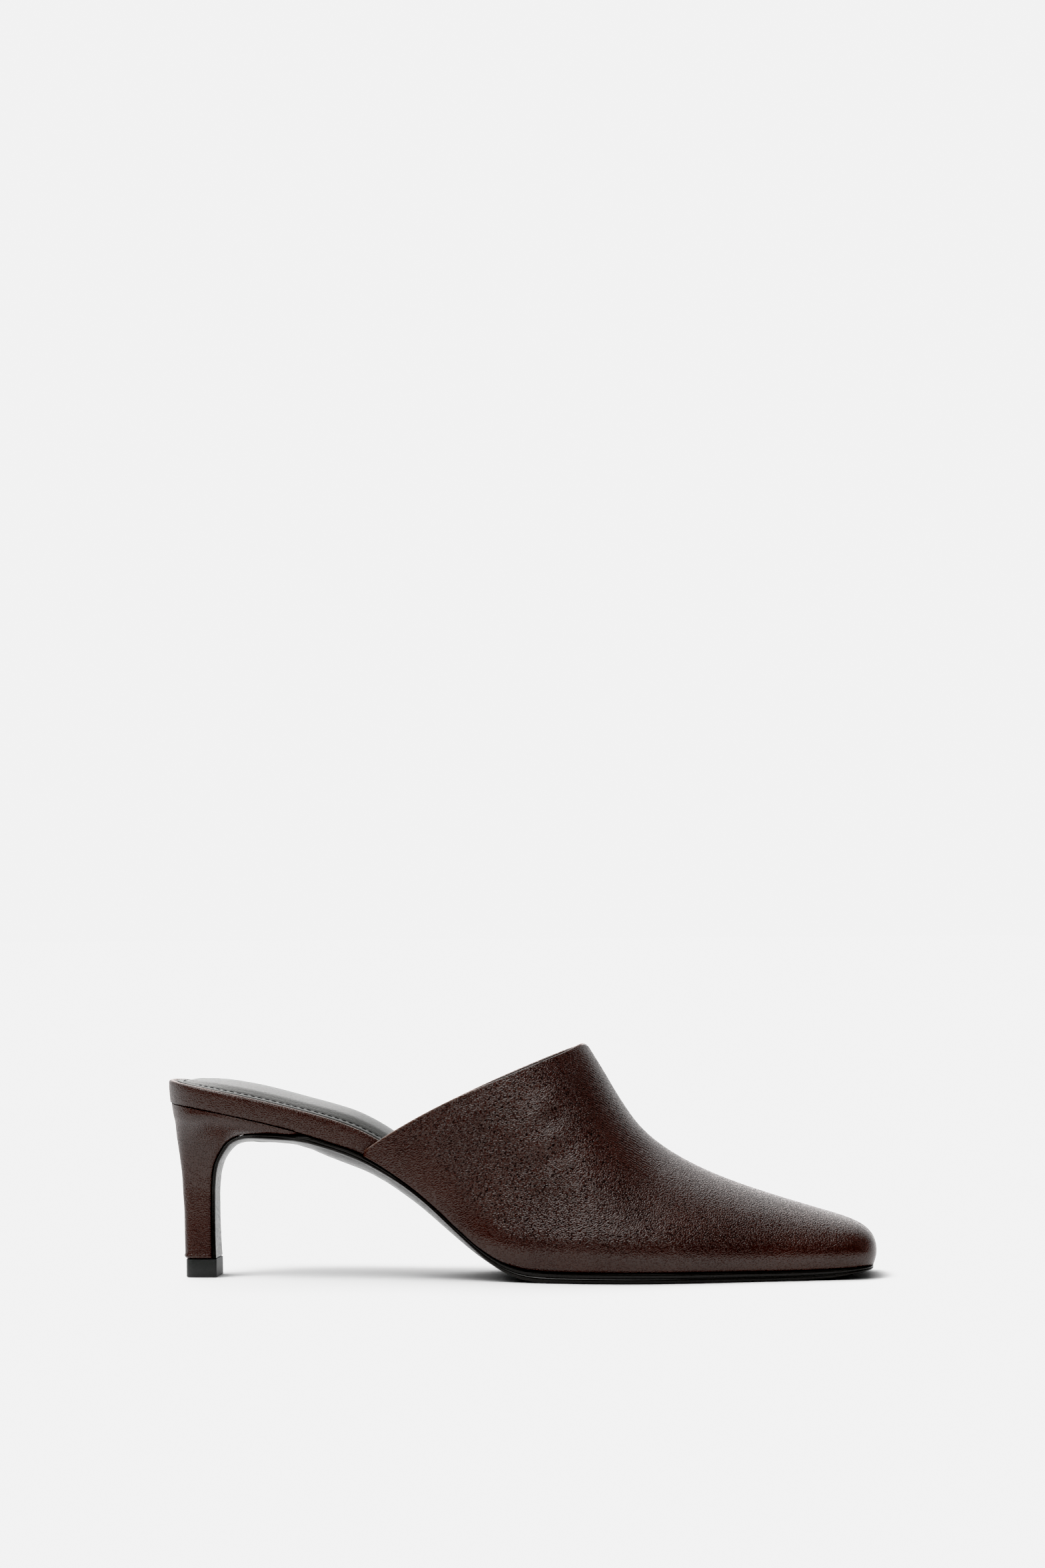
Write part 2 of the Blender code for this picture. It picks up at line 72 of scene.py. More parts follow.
class Table:
    """Rows of named columns, read at any s along a smooth curve that never overshoots the rows."""

    def __init__(self, columns, rows):
        self.names = columns.split()
        self.rows = np.array(rows, float)

    def __call__(self, name, s):
        xs, ys = self.rows[:, 0], self.rows[:, self.names.index(name)]
        step = np.diff(xs)
        rise = np.diff(ys) / step
        slope = np.concatenate([rise[:1], np.zeros(len(xs) - 2), rise[-1:]])
        same = rise[:-1] * rise[1:] > 0
        slope[1:-1][same] = 2 / (1 / rise[:-1][same] + 1 / rise[1:][same])
        s = np.clip(np.asarray(s, float), xs[0], xs[-1])
        i = np.clip(np.searchsorted(xs, s, side="right") - 1, 0, len(xs) - 2)
        t = (s - xs[i]) / step[i]
        return (
            ys[i] * (1 + 2 * t) * (1 - t) ** 2
            + ys[i + 1] * t * t * (3 - 2 * t)
            + slope[i] * step[i] * t * (1 - t) ** 2
            + slope[i + 1] * step[i] * t * t * (t - 1)
        )


BOARD = Table("s outer inner under over", [
    (0, 25.2, 25.2, 61.2, 69.2), (12, 25.2, 25.2, 59.4, 67.2),
    (24, 25.2, 25.2, 57.2, 64.8), (36, 25.1, 24.9, 54.5, 62.1),
    (48, 24.2, 23.5, 51.2, 59.0), (58, 23.0, 21.7, 47.9, 56.1),
    (66, 22.1, 20.3, 45.1, 53.2), (72, 21.6, 19.2, 42.2, 50.4),
    (80, 21.2, 18.0, 37.2, 45.6), (88, 21.3, 17.2, 31.3, 39.1),
    (96, 22.0, 17.1, 24.5, 31.5), (104, 23.3, 17.9, 17.3, 23.7),
    (112, 25.2, 19.6, 11.1, 16.8), (120, 27.6, 22.2, 6.8, 11.7),
    (128, 30.0, 25.4, 4.8, 9.0), (138, 32.9, 29.6, 4.3, 7.7),
    (150, 35.3, 33.6, 4.2, 7.3), (162, 36.0, 35.6, 4.1, 7.1),
    (174, 35.0, 36.0, 4.0, 7.0), (188, 31.9, 34.2, 3.9, 6.9),
    (202, 28.0, 30.9, 3.8, 6.8), (216, 24.0, 27.0, 3.7, 6.7),
    (230, 20.4, 23.3, 3.9, 6.9), (244, 17.6, 20.4, 4.5, 7.4),
])

RIDGE = Table("s height offset lean square tuck", [
    (70, 206.0, 0.0, 0.5, 0.40, 0.0), (100, 157.0, 0.4, 0.4, 0.39, 0.3),
    (120, 124.5, 0.8, 0.2, 0.37, 0.7), (146, 81.5, 1.2, 0.0, 0.335, 0.9),
    (152, 71.6, 1.4, 0.0, 0.335, 0.9), (158, 61.4, 1.6, 0.0, 0.345, 0.9),
    (164, 52.8, 1.8, 0.0, 0.36, 0.9), (170, 47.0, 2.0, 0.0, 0.38, 0.9),
    (178, 41.5, 2.2, 0.0, 0.41, 0.9), (188, 36.3, 2.4, 0.0, 0.44, 0.9),
    (200, 31.5, 2.4, 0.1, 0.46, 0.9), (212, 27.5, 2.2, 0.4, 0.48, 0.9),
    (224, 23.8, 1.9, 1.1, 0.53, 0.9), (232, 21.4, 1.7, 1.5, 0.60, 0.9),
    (240, 19.0, 1.6, 1.5, 0.60, 0.9),
])

TOPLINE = Table("s height", [
    (70.5, 44.7), (76, 48.4), (82, 52.1), (92, 57.7), (103, 63.2), (115, 68.7), (127, 73.8), (138, 78.2),
    (146.2, 81.2),
])

SOCK = Table("s crown", [
    (0, 0.0), (6, 0.1), (10, 0.5), (17, 1.7), (24, 2.4), (34, 2.7), (48, 2.6), (58, 2.8), (66, 3.1),
    (90, 2.4), (120, 1.0), (244, 0.6),
])

SOLE = Table("s edge bulge", [
    (50, 47.8, 3.2), (58, 45.4, 4.4), (64, 43.3, 4.6), (70, 40.8, 4.5),
    (76, 37.6, 4.5), (84, 32.6, 4.9), (92, 26.3, 4.9), (100, 18.9, 4.4),
    (108, 11.6, 3.5), (114, 6.6, 2.1), (120, 3.0, 0.9), (126, 0.9, 0.2),
    (132, 0.1, 0.0), (138, 0.0, 0.0), (208, 0.0, 0.0), (216, 0.1, 0.0),
    (222, 0.2, 0.0), (229, 0.5, 0.0), (234, 1.1, 0.0), (238, 1.8, 0.0),
    (242, 2.5, 0.0), (246, 3.2, 0.0),
])

# Rows are numbered from 0 in the first column, and read at fractions between them
FLAP = Table("row back_s back_z front_s front_z half bulge", [
    (0, 46.6, 49.45, 46.3, 48.35, 23.2, 2.6),
    (1, 42.6, 49.9, 42.3, 48.6, 22.6, 2.3),
    (2, 38.1, 50.15, 37.9, 48.85, 21.5, 2.2),
    (3, 33.1, 50.1, 33.1, 49.0, 19.6, 2.3),
    (4, 29.1, 49.8, 29.6, 48.9, 17.2, 2.3),
    (5, 25.4, 48.9, 26.1, 48.2, 14.4, 1.9),
    (6, 22.0, 47.1, 22.8, 46.6, 11.8, 1.3),
    (7, 19.3, 43.8, 20.2, 43.5, 9.8, 0.7),
    (8, 17.1, 39.6, 18.0, 39.4, 8.3, 0.3),
    (9, 16.1, 35.0, 17.0, 34.9, 7.1, 0.1),
    (10, 15.7, 28.6, 16.6, 28.6, 6.5, 0.0),
    (11, 15.7, 21.6, 16.6, 21.6, 6.7, 0.0),
    (12, 15.8, 14.6, 16.7, 14.6, 7.3, 0.0),
    (13, 16.1, HEEL_TOP_Z, 17.0, HEEL_TOP_Z, 8.0, 0.0),
])

HEEL = Table("row back_s back_z front_s front_z bow half back_order front_order", [
    (0, 1.0, 60.6, 50.0, 50.25, 1.1, 24.8, 2.2, 9.0),
    (1, 1.1, 59.8, 47.0, 49.9, 1.0, 24.6, 2.2, 9.0),
    (2, 1.4, 58.3, 38.5, 50.55, 0.6, 23.3, 2.2, 9.0),
    (3, 1.75, 56.5, 33.2, 50.45, 0.4, 21.5, 2.3, 9.0),
    (4, 2.3, 54.3, 28.9, 50.15, 0.2, 19.0, 2.4, 9.0),
    (5, 2.6, 51.7, 25.1, 49.3, 0.1, 16.3, 2.6, 10.0),
    (6, 2.9, 48.7, 21.7, 47.4, 0.0, 13.7, 2.8, 12.0),
    (7, 3.4, 44.9, 18.9, 44.0, 0.0, 11.2, 3.0, 14.0),
    (8, 4.0, 40.0, 16.7, 39.6, 0.0, 9.2, 3.2, 14.0),
    (9, 4.5, 35.1, 15.7, 35.0, 0.0, 8.0, 3.3, 14.0),
    (10, 4.8, 28.7, 15.35, 28.6, 0.0, 7.3, 3.4, 14.0),
    (11, 5.2, 21.7, 15.3, 21.6, 0.0, 7.3, 3.4, 14.0),
    (12, 5.3, 14.7, 15.45, 14.6, 0.0, 7.7, 3.4, 14.0),
    (13, 5.5, HEEL_TOP_Z, 15.7, HEEL_TOP_Z, 0.0, 8.3, 3.4, 14.0),
])

# ---- what only the looks need

EDGE_DROP = 0.3  # the leather stops this far under the topline, and its folded edge makes it up
EDGE_ROLL = 0.4  # how tall the folded edge is beside a half round
PEAK_ROUND, PEAK_ARM = 3.0, 4  # radius of the throat's corner, and the reach that sets its angle
COLLAR_DIP = 0.6  # how much lower the outer side's topline runs behind the throat
DROP_STARTS, DIP_STARTS, DIP_STOPS = (0, 5), (1, 8), (48, 24)  # how far behind it, from none to all
CREASES_PART_Y = 1.5  # where the outer side's creases end and the inner side's start

# Soft troughs (depth above 0) and swells (below 0) of the worn-in leather
CREASES = [
    # side, s, z, half length, half width, slope in degrees, depth
    (OUTER, 142.0, 13.5, 34.0, 8.5, 2, -1.9),  # the ball's bulge over the sole's edge
    (OUTER, 128.0, 34.0, 20.0, 12.0, -38, 0.9),  # the hollow over it, where the foot narrows
    (OUTER, 133.0, 48.5, 10.0, 4.2, 28, -0.75),  # the soft pinch under the throat
    (OUTER, 136.0, 43.0, 9.0, 3.2, 24, 0.55),
    (OUTER, 106.0, 55.0, 12.0, 3.5, 38, -0.35),
    (OUTER, 180.0, 13.0, 20.0, 6.0, -2, -0.6),
    (OUTER, 216.0, 12.5, 24.0, 5.5, -4, -0.7),
    (OUTER, 131.0, 58.0, 13.0, 3.6, 42, -0.55),  # soft folds that run up to the throat
    (OUTER, 137.0, 55.5, 11.0, 3.0, 40, 0.4),
    (INNER, 138.0, 13.0, 32.0, 8.5, 2, -1.5),
    (INNER, 124.0, 34.0, 20.0, 12.0, -38, 0.8),
    (INNER, 131.0, 47.0, 9.0, 4.0, 30, -0.6),
]


def ramp(low, high, x):
    """0 at low, 1 at high, straight between them and level beyond."""
    return np.clip((x - low) / (high - low), 0, 1)


def smooth(low, high, x):
    """The same with soft ends."""
    t = ramp(low, high, x)
    return t * t * (3 - 2 * t)


# ---- outlines


def end_round(s, inset=0.0):
    """What share of the half width is left at s, where the outline closes round the seat and the toe."""
    seat, toe = ramp(SEAT_ROUND, inset, s), ramp(TOE_ROUND_FROM, TOE_END - inset, s)
    left = (1 - seat**SEAT_ORDER) ** (1 / SEAT_ORDER) * (1 - toe**TOE_ORDER) ** (1 / TOE_ORDER)
    return np.where(np.maximum(seat, toe) > 1 - 1e-9, 0.0, left)  # nothing is left at either end


def half_width(side, s, inset=0.0):
    """The board's half width at s on one side, or that of an outline inset inside it."""
    full = BOARD("outer" if side == OUTER else "inner", s) - inset
    return full * end_round(s, inset)


def closing(start, end, order, steps):
    """Values of s from start to end, spread evenly round the outline as it closes."""
    turns = np.linspace(0, math.pi / 2, steps + 1)
    return start + (end - start) * np.sin(turns) ** (2 / order)


def stations(inset, seat=26, middle=150, toe=30):
    """Values of s from the seat's back to the toe's front, the same number for every inset."""
    back = closing(SEAT_ROUND, inset, SEAT_ORDER, seat)
    between = np.linspace(SEAT_ROUND, TOE_ROUND_FROM, middle + 1)
    front = closing(TOE_ROUND_FROM, TOE_END - inset, TOE_ORDER, toe)
    return np.concatenate([back[::-1], between[1:-1], front])


# ---- the upper's surface

TOE_LINE_STEPS = (39, 199)  # along the straight side, and round the toe
HALVINGS = 30


def toe_line(side):
    """The board's outline on one side from FAN_FROM to the middle of the toe, as points and arc lengths."""
    straight, rounded = TOE_LINE_STEPS
    s = np.linspace(FAN_FROM, TOE_ROUND_FROM, straight + 1)[:-1]
    s = np.concatenate([s, closing(TOE_ROUND_FROM, TOE_END, TOE_ORDER, rounded)])
    points = np.stack([s, side * half_width(side, s)], axis=-1)
    arcs = np.concatenate([[0], np.cumsum(np.hypot(*np.diff(points, axis=0).T))])
    return points, arcs


TOE_LINES = {side: toe_line(side) for side in (OUTER, INNER)}


def foot_of(side, station):
    """Ribs' feet, without their height, and the outward directions there."""
    straight = np.stack([station, side * half_width(side, station)], axis=-1)
    sideways = np.broadcast_to([0.0, side], straight.shape)
    points, arcs = TOE_LINES[side]
    arc = arcs[-1] * ramp(FAN_FROM, FAN_END, station)

    def at(a):
        return np.stack([np.interp(a, arcs, points[:, k]) for k in (0, 1)], axis=-1)

    along = at(arc + 0.5) - at(arc - 0.5)  # over one millimetre, as the slope in rib_point is
    out = np.stack([-along[..., 1], along[..., 0]], axis=-1) * side
    out /= np.linalg.norm(out, axis=-1, keepdims=True)
    fade = ramp(0, FAN_FADE, arc)[..., None]
    out = out * fade + sideways * (1 - fade)
    turned = (station > FAN_FROM)[..., None]
    foot = np.where(turned, at(arc), straight)
    out = np.where(turned, out / np.linalg.norm(out, axis=-1, keepdims=True), sideways)
    return foot, out


def ridge_station(station):
    """Where a rib meets the ridge: the tops of the fan's ribs crowd together towards FAN_TOP."""
    return station - (FAN_END - FAN_TOP) * ramp(FAN_FROM, FAN_END, station) ** 2


def rib_point(side, station, t):
    """Points of ribs at t, 0 at the foot and 1 on the ridge."""
    foot, out = foot_of(side, station)
    top = ridge_station(station)
    foot = foot + out * (WALL + GAP + RIDGE("tuck", top))[..., None]
    shoulder = foot + out * RIDGE("lean", top)[..., None]
    height = RIDGE("height", top)
    slope = RIDGE("height", top + 0.5) - RIDGE("height", top - 0.5)
    lift = np.where(station > FAN_FROM, slope * (shoulder[..., 0] - top), 0.0)
    foot = np.concatenate([foot, BOARD("under", foot[..., 0])[..., None]], axis=-1)
    shoulder = np.concatenate([shoulder, (height + lift)[..., None]], axis=-1)
    crest = np.stack([top, RIDGE("offset", top), height], axis=-1)
    square = RIDGE("square", top)
    pull = 2 * square / (1 - square)
    a, b, c = (weight[..., None] for weight in ((1 - t) ** 2, pull * t * (1 - t), t * t))
    point = (a * foot + b * shoulder + c * crest) / (a + b + c)
    low = 1 - np.clip((point[..., 2] - foot[..., 2]) / TUCK_HEIGHT, 0, 1)
    point[..., :2] -= out * (RIDGE("tuck", top) * low**2)[..., None]
    return point


def topline_t(side, s):
    """Where the topline crosses the ribs at s."""
    behind = THROAT_S - s
    drop = EDGE_DROP * smooth(*DROP_STARTS, behind)
    if side == OUTER:
        drop = drop + COLLAR_DIP * smooth(*DIP_STARTS, behind) * smooth(*DIP_STOPS, behind)
    level = TOPLINE("height", s) - drop
    low, high = np.zeros_like(s), np.ones_like(s)
    for _ in range(HALVINGS):
        middle = (low + high) / 2
        under = rib_point(side, s, middle)[..., 2] < level
        low, high = np.where(under, middle, low), np.where(under, high, middle)
    return low


def crossing(station):
    """Where the grid line that starts at each foot reaches the topline or the ridge."""
    back = ramp(THROAT_FOOT, UPPER_BACK, station)
    ahead = ramp(THROAT_FOOT, FAN_FROM, station)
    behind = THROAT_S - (THROAT_S - UPPER_BACK - TOPLINE_AHEAD) * back**2
    return np.where(station < THROAT_FOOT, behind, THROAT_S + (FAN_FROM - THROAT_S) * ahead)


def upper_grid(side, feet):
    """The upper's outside on one side, as points [foot station, row up to the topline or ridge]."""
    end = np.where(feet < FAN_FROM, crossing(feet), feet)
    last = np.where(feet < THROAT_FOOT, topline_t(side, end), 1.0)
    v = np.linspace(0, 1, UPPER_ROWS + 1)
    station = feet[:, None] + (end - feet)[:, None] * v
    return rib_point(side, station, last[:, None] * v)


# ---- meshes

ORIGIN = np.array([MIDDLE_S, 0, 0])  # the frame's, in shoe measure
MERGE, SHORTEST = 2e-6, 1e-6  # metres: points this close are joined, and edges this short are dropped


def place(points):
    """Shoe millimetres as the frame's metres."""
    return (np.asarray(points, float) - ORIGIN) / 1000


def shoe_points(made):
    """An object's points in shoe measure."""
    flat = np.zeros(len(made.data.vertices) * 3, np.float32)
    made.data.vertices.foreach_get("co", flat)
    return flat.reshape(-1, 3) * 1000 + ORIGIN


def mark(made, name, values):
    """Writes a number to every point, which the materials read by this name."""
    attribute = made.data.attributes.new(name, "FLOAT", "POINT")
    attribute.data.foreach_set("value", values.astype(np.float32))


def mesh_object(name, points, faces, materials, face_materials=None, sharp=None):
    """A smooth-shaded object of these shoe-measure points, which rides on the shoe's one body. Edges over
    sharp degrees stay sharp."""
    mesh = bpy.data.meshes.new(name)
    mesh.from_pydata(place(points).tolist(), [], faces)
    for finish in materials:
        mesh.materials.append(finish)
    if face_materials is not None:
        mesh.polygons.foreach_set("material_index", np.asarray(face_materials, np.int32))
    mesh.shade_smooth()
    if sharp is not None:
        mesh.set_sharp_from_angle(angle=math.radians(sharp))
    made = bpy.data.objects.new(name, mesh)
    bpy.context.scene.collection.objects.link(made)
    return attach(made, "root")


def weld(made):
    """Joins points that coincide where an outline closes, and turns every face outwards."""
    work = bmesh.new()
    work.from_mesh(made.data)
    bmesh.ops.remove_doubles(work, verts=work.verts, dist=MERGE)
    bmesh.ops.dissolve_degenerate(work, edges=work.edges, dist=SHORTEST)
    bmesh.ops.recalc_face_normals(work, faces=work.faces)
    work.to_mesh(made.data)
    work.free()


def ring_solid(name, rings, finish, sharp=None, ends=True):
    """A mesh through rings of equal count. Its ends are closed by ladders from side to side, unless the rings
    themselves shrink to a line there."""
    rings = np.asarray(rings)
    count = rings.shape[1]
    n = np.arange(rings.shape[0] * count).reshape(-1, count)
    faces = quads(*np.hstack([n, n[:, :1]]))
    if ends:
        for ring, flip in ((n[0], True), (n[-1], False)):
            for k in range((count - 1) // 2):
                rung = (ring[k], ring[k + 1], ring[count - 2 - k], ring[count - 1 - k])
                faces.append(rung[::-1] if flip else rung)
    made = mesh_object(name, rings.reshape(-1, 3), drop_flat(faces), [finish], sharp=sharp)
    weld(made)
    return made


def quads(*lines):
    """Faces between lists of point numbers of equal length, from each to the next."""
    faces = []
    for first, second in zip(lines[:-1], lines[1:]):
        faces += [(a, b, d, c) for a, b, c, d in zip(first[:-1], first[1:], second[:-1], second[1:])]
    return faces


def drop_flat(faces):
    """The faces without repeated points, and without those that shrink to a line."""
    kept = []
    for face in faces:
        face = tuple(dict.fromkeys(int(point) for point in face))
        if len(face) > 2:
            kept.append(face)
    return kept


def normals_of(points, faces):
    """Unit vertex normals of quads and triangles."""
    total = np.zeros_like(points)
    for size in (3, 4):
        some = np.array([face for face in faces if len(face) == size], int)
        if not len(some):
            continue
        corners = [points[some[:, k]] for k in range(size)]
        across = corners[2] - corners[0]
        if size == 4:
            flat = np.cross(across, corners[3] - corners[1])
        else:
            flat = np.cross(corners[1] - corners[0], across)
        for k in range(size):
            np.add.at(total, some[:, k], flat)
    length = np.linalg.norm(total, axis=1, keepdims=True)
    return total / np.where(length > 0, length, 1)


# ---- the upper

UPPER_ROWS = 56
UPPER_COLUMNS = (90, 60, 110)  # behind the throat, along the vamp, and round the toe
ROLL_STEPS = 8

# Where the leather changes: each pair is a start and an end
REARWARD = (125, 85)  # in s
GRAIN_RISES = (5.0, 14.0)  # in height above the sole's edge
GRAIN_REAR_HIGHER, GRAIN_REAR_LOSS = 9.0, 0.35  # at the back its end is higher, and it is weaker
FOLDS_START, FOLDS_STOP = (138, 150), (182, 158)  # in s
FOLDS_UNDER_RIDGE, FOLDS_BESIDE_RIDGE = (26, 8), (2, 12)
# A painted highlight along the topline: how far under it, and where it stops at the throat
HIGHLIGHT_UNDER_TOPLINE = (0.9, 0.2)
HIGHLIGHT_STOPS = (THROAT_S + 2, THROAT_S)


def upper_numbers(count, throat):
    """Each side's point numbers [column, row], and which of them the inner side has for itself. From the
    throat on the two sides share the ridge, and in the last column the toe's middle."""
    numbers = np.arange(count * (UPPER_ROWS + 1)).reshape(count, -1)
    own = np.ones(numbers.shape, bool)
    own[throat:, -1] = False
    own[-1] = False
    inner = numbers.copy()
    inner[own] = numbers.size + np.arange(own.sum())
    return {OUTER: numbers, INNER: inner}, own


def upper_skin():
    """The outside of the leather: points, faces and normals, and each side's point numbers."""
    behind, vamp, toe = UPPER_COLUMNS
    feet = np.concatenate([
        np.linspace(UPPER_BACK, THROAT_FOOT, behind + 1),
        np.linspace(THROAT_FOOT, FAN_FROM, vamp + 1)[1:],
        np.linspace(FAN_FROM, FAN_END, toe + 1)[1:],
    ])
    numbers, own = upper_numbers(len(feet), behind)
    points = np.concatenate([upper_grid(OUTER, feet).reshape(-1, 3), upper_grid(INNER, feet)[own]])
    faces = []
    for side in (OUTER, INNER):
        n = numbers[side]
        quad = np.stack([n[:-1, :-1], n[1:, :-1], n[1:, 1:], n[:-1, 1:]], axis=-1).reshape(-1, 4)
        # the sides' last quads share three points, so they are split and don't fold onto each other
        quad = np.concatenate([quad[:-1], quad[-1:, [0, 1, 2, 2]], quad[-1:, [0, 2, 3, 3]]])
        faces.append(quad if side == OUTER else quad[:, ::-1])
    faces = drop_flat(np.concatenate(faces))
    normals = normals_of(points, faces)
    points = points - normals * crease_depth(points)[:, None]
    points[:, [0, 2]] = round_peak(points[:, [0, 2]])
    return points, faces, normals, numbers


def crease_depth(points):
    """How far the leather lies under its smooth form."""
    depth = np.zeros(len(points))
    for side, s, z, length, width, slope, deep in CREASES:
        turn = math.radians(slope)
        ds, dz = points[:, 0] - s, points[:, 2] - z
        a = (ds * math.cos(turn) + dz * math.sin(turn)) / length
        b = (-ds * math.sin(turn) + dz * math.cos(turn)) / width
        depth += deep * np.exp(-a * a - b * b) * (np.sign(points[:, 1] - CREASES_PART_Y) == side)
    return depth


def round_peak(points):
    """Points (s, z) near the throat's corner, drawn in to a round one."""
    peak = np.array([THROAT_S, TOPLINE("height", THROAT_S)])
    arms = []
    for ds, table in ((-PEAK_ARM, TOPLINE), (PEAK_ARM, RIDGE)):
        arm = np.array([ds, table("height", THROAT_S + ds) - peak[1]])
        arms.append(arm / np.linalg.norm(arm))
    inward = (arms[0] + arms[1]) / np.linalg.norm(arms[0] + arms[1])
    half = math.acos(arms[0] @ inward)
    centre = peak + inward * PEAK_ROUND / math.sin(half)
    near = (points - peak) @ inward < PEAK_ROUND / math.tan(half) * math.cos(half)
    apart = np.linalg.norm(points - centre, axis=1)
    drawn = centre + (points - centre) * (PEAK_ROUND / np.maximum(apart, PEAK_ROUND))[:, None]
    return np.where((near & (apart > PEAK_ROUND))[:, None], drawn, points)


def round_line(numbers, row, last):
    """One row's point numbers, along the outer side to the last column and back along the inner side."""
    return np.concatenate([numbers[OUTER][:last + 1, row], numbers[INNER][:last, row][::-1]])


def roll_rings(skin, inside, normals, edge, below):
    """Lines of points over the folded edge, between the outside and the lining."""
    along = np.gradient(skin[edge], axis=0)
    along /= np.linalg.norm(along, axis=1, keepdims=True)
    away = np.cross(along, normals[edge])
    away *= np.sign((away * (skin[edge] - skin[below])).sum(1))[:, None]
    centre = (skin[edge] + inside[edge]) / 2
    lines = []
    for k in range(1, ROLL_STEPS):
        turn = math.pi * k / ROLL_STEPS
        lines.append(centre + WALL / 2 * (math.cos(turn) * normals[edge] + EDGE_ROLL * math.sin(turn) * away))
    return lines


def make_upper(leather, lining):
    """The vamp: outer leather, lining, and the folded edge that joins them along the topline."""
    skin, faces, normals, numbers = upper_skin()
    inside = skin - normals * WALL
    throat = UPPER_COLUMNS[0]
    edge = round_line(numbers, -1, throat)
    foot = round_line(numbers, 0, sum(UPPER_COLUMNS))
    rolls = roll_rings(skin, inside, normals, edge, round_line(numbers, -2, throat))
    first = 2 * len(skin)
    lines = [first + k * len(edge) + np.arange(len(edge)) for k in range(len(rolls))]
    lines = [edge, *lines, edge + len(skin)]
    backs = {side: quads(numbers[side][0], numbers[side][0] + len(skin)) for side in (OUTER, INNER)}
    groups = [  # faces, and their material: 0 is the leather and 1 the lining
        (faces, 0),
        ([tuple(point + len(skin) for point in face[::-1]) for face in faces], 1),
        (quads(*lines), 0),
        (quads(foot + len(skin), foot), 1),
        (backs[OUTER] + [face[::-1] for face in backs[INNER]], 0),
        ([tuple(line[0] for line in lines), tuple(line[-1] for line in lines)[::-1]], 0),
    ]
    joined, which = [], []
    for group, material in groups:
        group = drop_flat(group)
        joined += group
        which += [material] * len(group)
    points = np.concatenate([skin, inside, *rolls])
    made = mesh_object("upper_leather", points, joined, [leather, lining], which)
    paint_upper(made)
    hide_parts("upper")
    return made


def paint_upper(made):
    """Attributes for the leather: its grain fades where it is pulled smooth over the sole's edge, and turns
    to fine slanting folds under the throat. A painted highlight runs along the topline."""
    s, y, z = shoe_points(made).T
    rear = smooth(*REARWARD, s)
    low, high = GRAIN_RISES
    grain = smooth(low, high + GRAIN_REAR_HIGHER * rear, z - BOARD("under", s)) * (1 - GRAIN_REAR_LOSS * rear)
    folds = smooth(*FOLDS_UNDER_RIDGE, RIDGE("height", s) - z) * smooth(*FOLDS_START, s)
    folds = folds * smooth(*FOLDS_STOP, s) * smooth(*FOLDS_BESIDE_RIDGE, np.abs(y - RIDGE("offset", s)))
    # painted highlight just under the topline, ending at the throat
    edge_highlight = smooth(*HIGHLIGHT_UNDER_TOPLINE, TOPLINE("height", s) - z) * smooth(*HIGHLIGHT_STOPS, s)
    for name, values in (("grain", grain), ("folds", folds), ("edge_highlight", edge_highlight)):
        mark(made, name, values)


# ---- the insole board and the sock

# The board's edge from below: inset, and height above the underside, share of its thickness, or depth
# under the top
BOARD_EDGE_UNDER = [(4.0, 0.0), (1.2, 0.0), (0.75, 0.03), (0.5, 0.14)]
BOARD_EDGE_SIDE = [(0.36, 0.1), (0.2, 0.3), (0.08, 0.5), (0.0, 0.68)]
BOARD_EDGE_OVER = [
    (0.0, 0.95), (0.06, 0.75), (0.25, 0.4), (0.6, 0.12), (1.05, 0.0), (1.6, 0.2), (2.1, 0.6), (5.0, 0.6),
]
RIM_TOP, RIM_HIGHLIGHT = 0.08, (0.32, 0.05)  # a painted highlight lies along the rim, this near to a line this far under its top


def make_board(leather):
    """The insole board in its leather cover: a band with a soft lower edge and a rolled upper rim."""
    rows = [(inset, 0, rise) for inset, rise in BOARD_EDGE_UNDER]
    rows += [(inset, share, 0) for inset, share in BOARD_EDGE_SIDE]
    rows += [(inset, 1, -drop) for inset, drop in BOARD_EDGE_OVER]
    lines = {OUTER: [], INNER: []}
    for inset, share, rise in rows:
        s = stations(inset)
        level = BOARD("under", s) * (1 - share) + BOARD("over", s) * share + rise
        for side, line in lines.items():
            line.append(np.stack([s, side * half_width(side, s, inset), level], axis=-1))
    rings = np.stack(lines[OUTER] + lines[INNER][::-1], axis=1)
    made = ring_solid("insole_cover", rings, leather, sharp=60, ends=False)
    s, _, z = shoe_points(made).T
    # painted highlight along the board's rim
    mark(made, "edge_highlight", smooth(*RIM_HIGHLIGHT, np.abs(BOARD("over", s) - RIM_TOP - z)))
    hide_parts("insole_board")
    return made


SOCK_STEPS = 30
SOCK_CROWDING = 1.6  # above 1, the steps across crowd towards the edges
SOCK_EDGE, SOCK_UNDER = -0.25, -0.3  # heights of the edge and the underside over the board's rim
SOCK_LIP = 0.15  # the edge's corner hangs this far under it
SOCK_UNDERCUT = 0.995  # the underside's width beside the edge's
EDGE_RISE, EDGE_RISE_OVER = 0.25, 0.4  # the edge's own small round
BORDER_RISE = 0.25  # the border slopes up to the stitches
STITCH_INSET = 2.3  # from the sock's edge to its stitching
GROOVE_DEEP, GROOVE_WIDE = 0.3, 0.6
PADDING, PADDING_FULL = 0.9, 7.5  # its thickness, and how far from the edge it is reached


def sock_top(side_share, s, edge_room):
    """Height of the sock's top: a thin border, the stitched groove, then the padding over a crown."""
    dome = SOCK("crown", s) * (1 - side_share**2)
    border = BORDER_RISE * ramp(0, STITCH_INSET, edge_room) + EDGE_RISE * smooth(0, EDGE_RISE_OVER, edge_room)
    padding = PADDING * smooth(STITCH_INSET, PADDING_FULL, edge_room)
    groove = GROOVE_DEEP * np.exp(-((edge_room - STITCH_INSET) / GROOVE_WIDE) ** 2)
    return BOARD("over", s) + SOCK_EDGE + dome + border + padding - groove


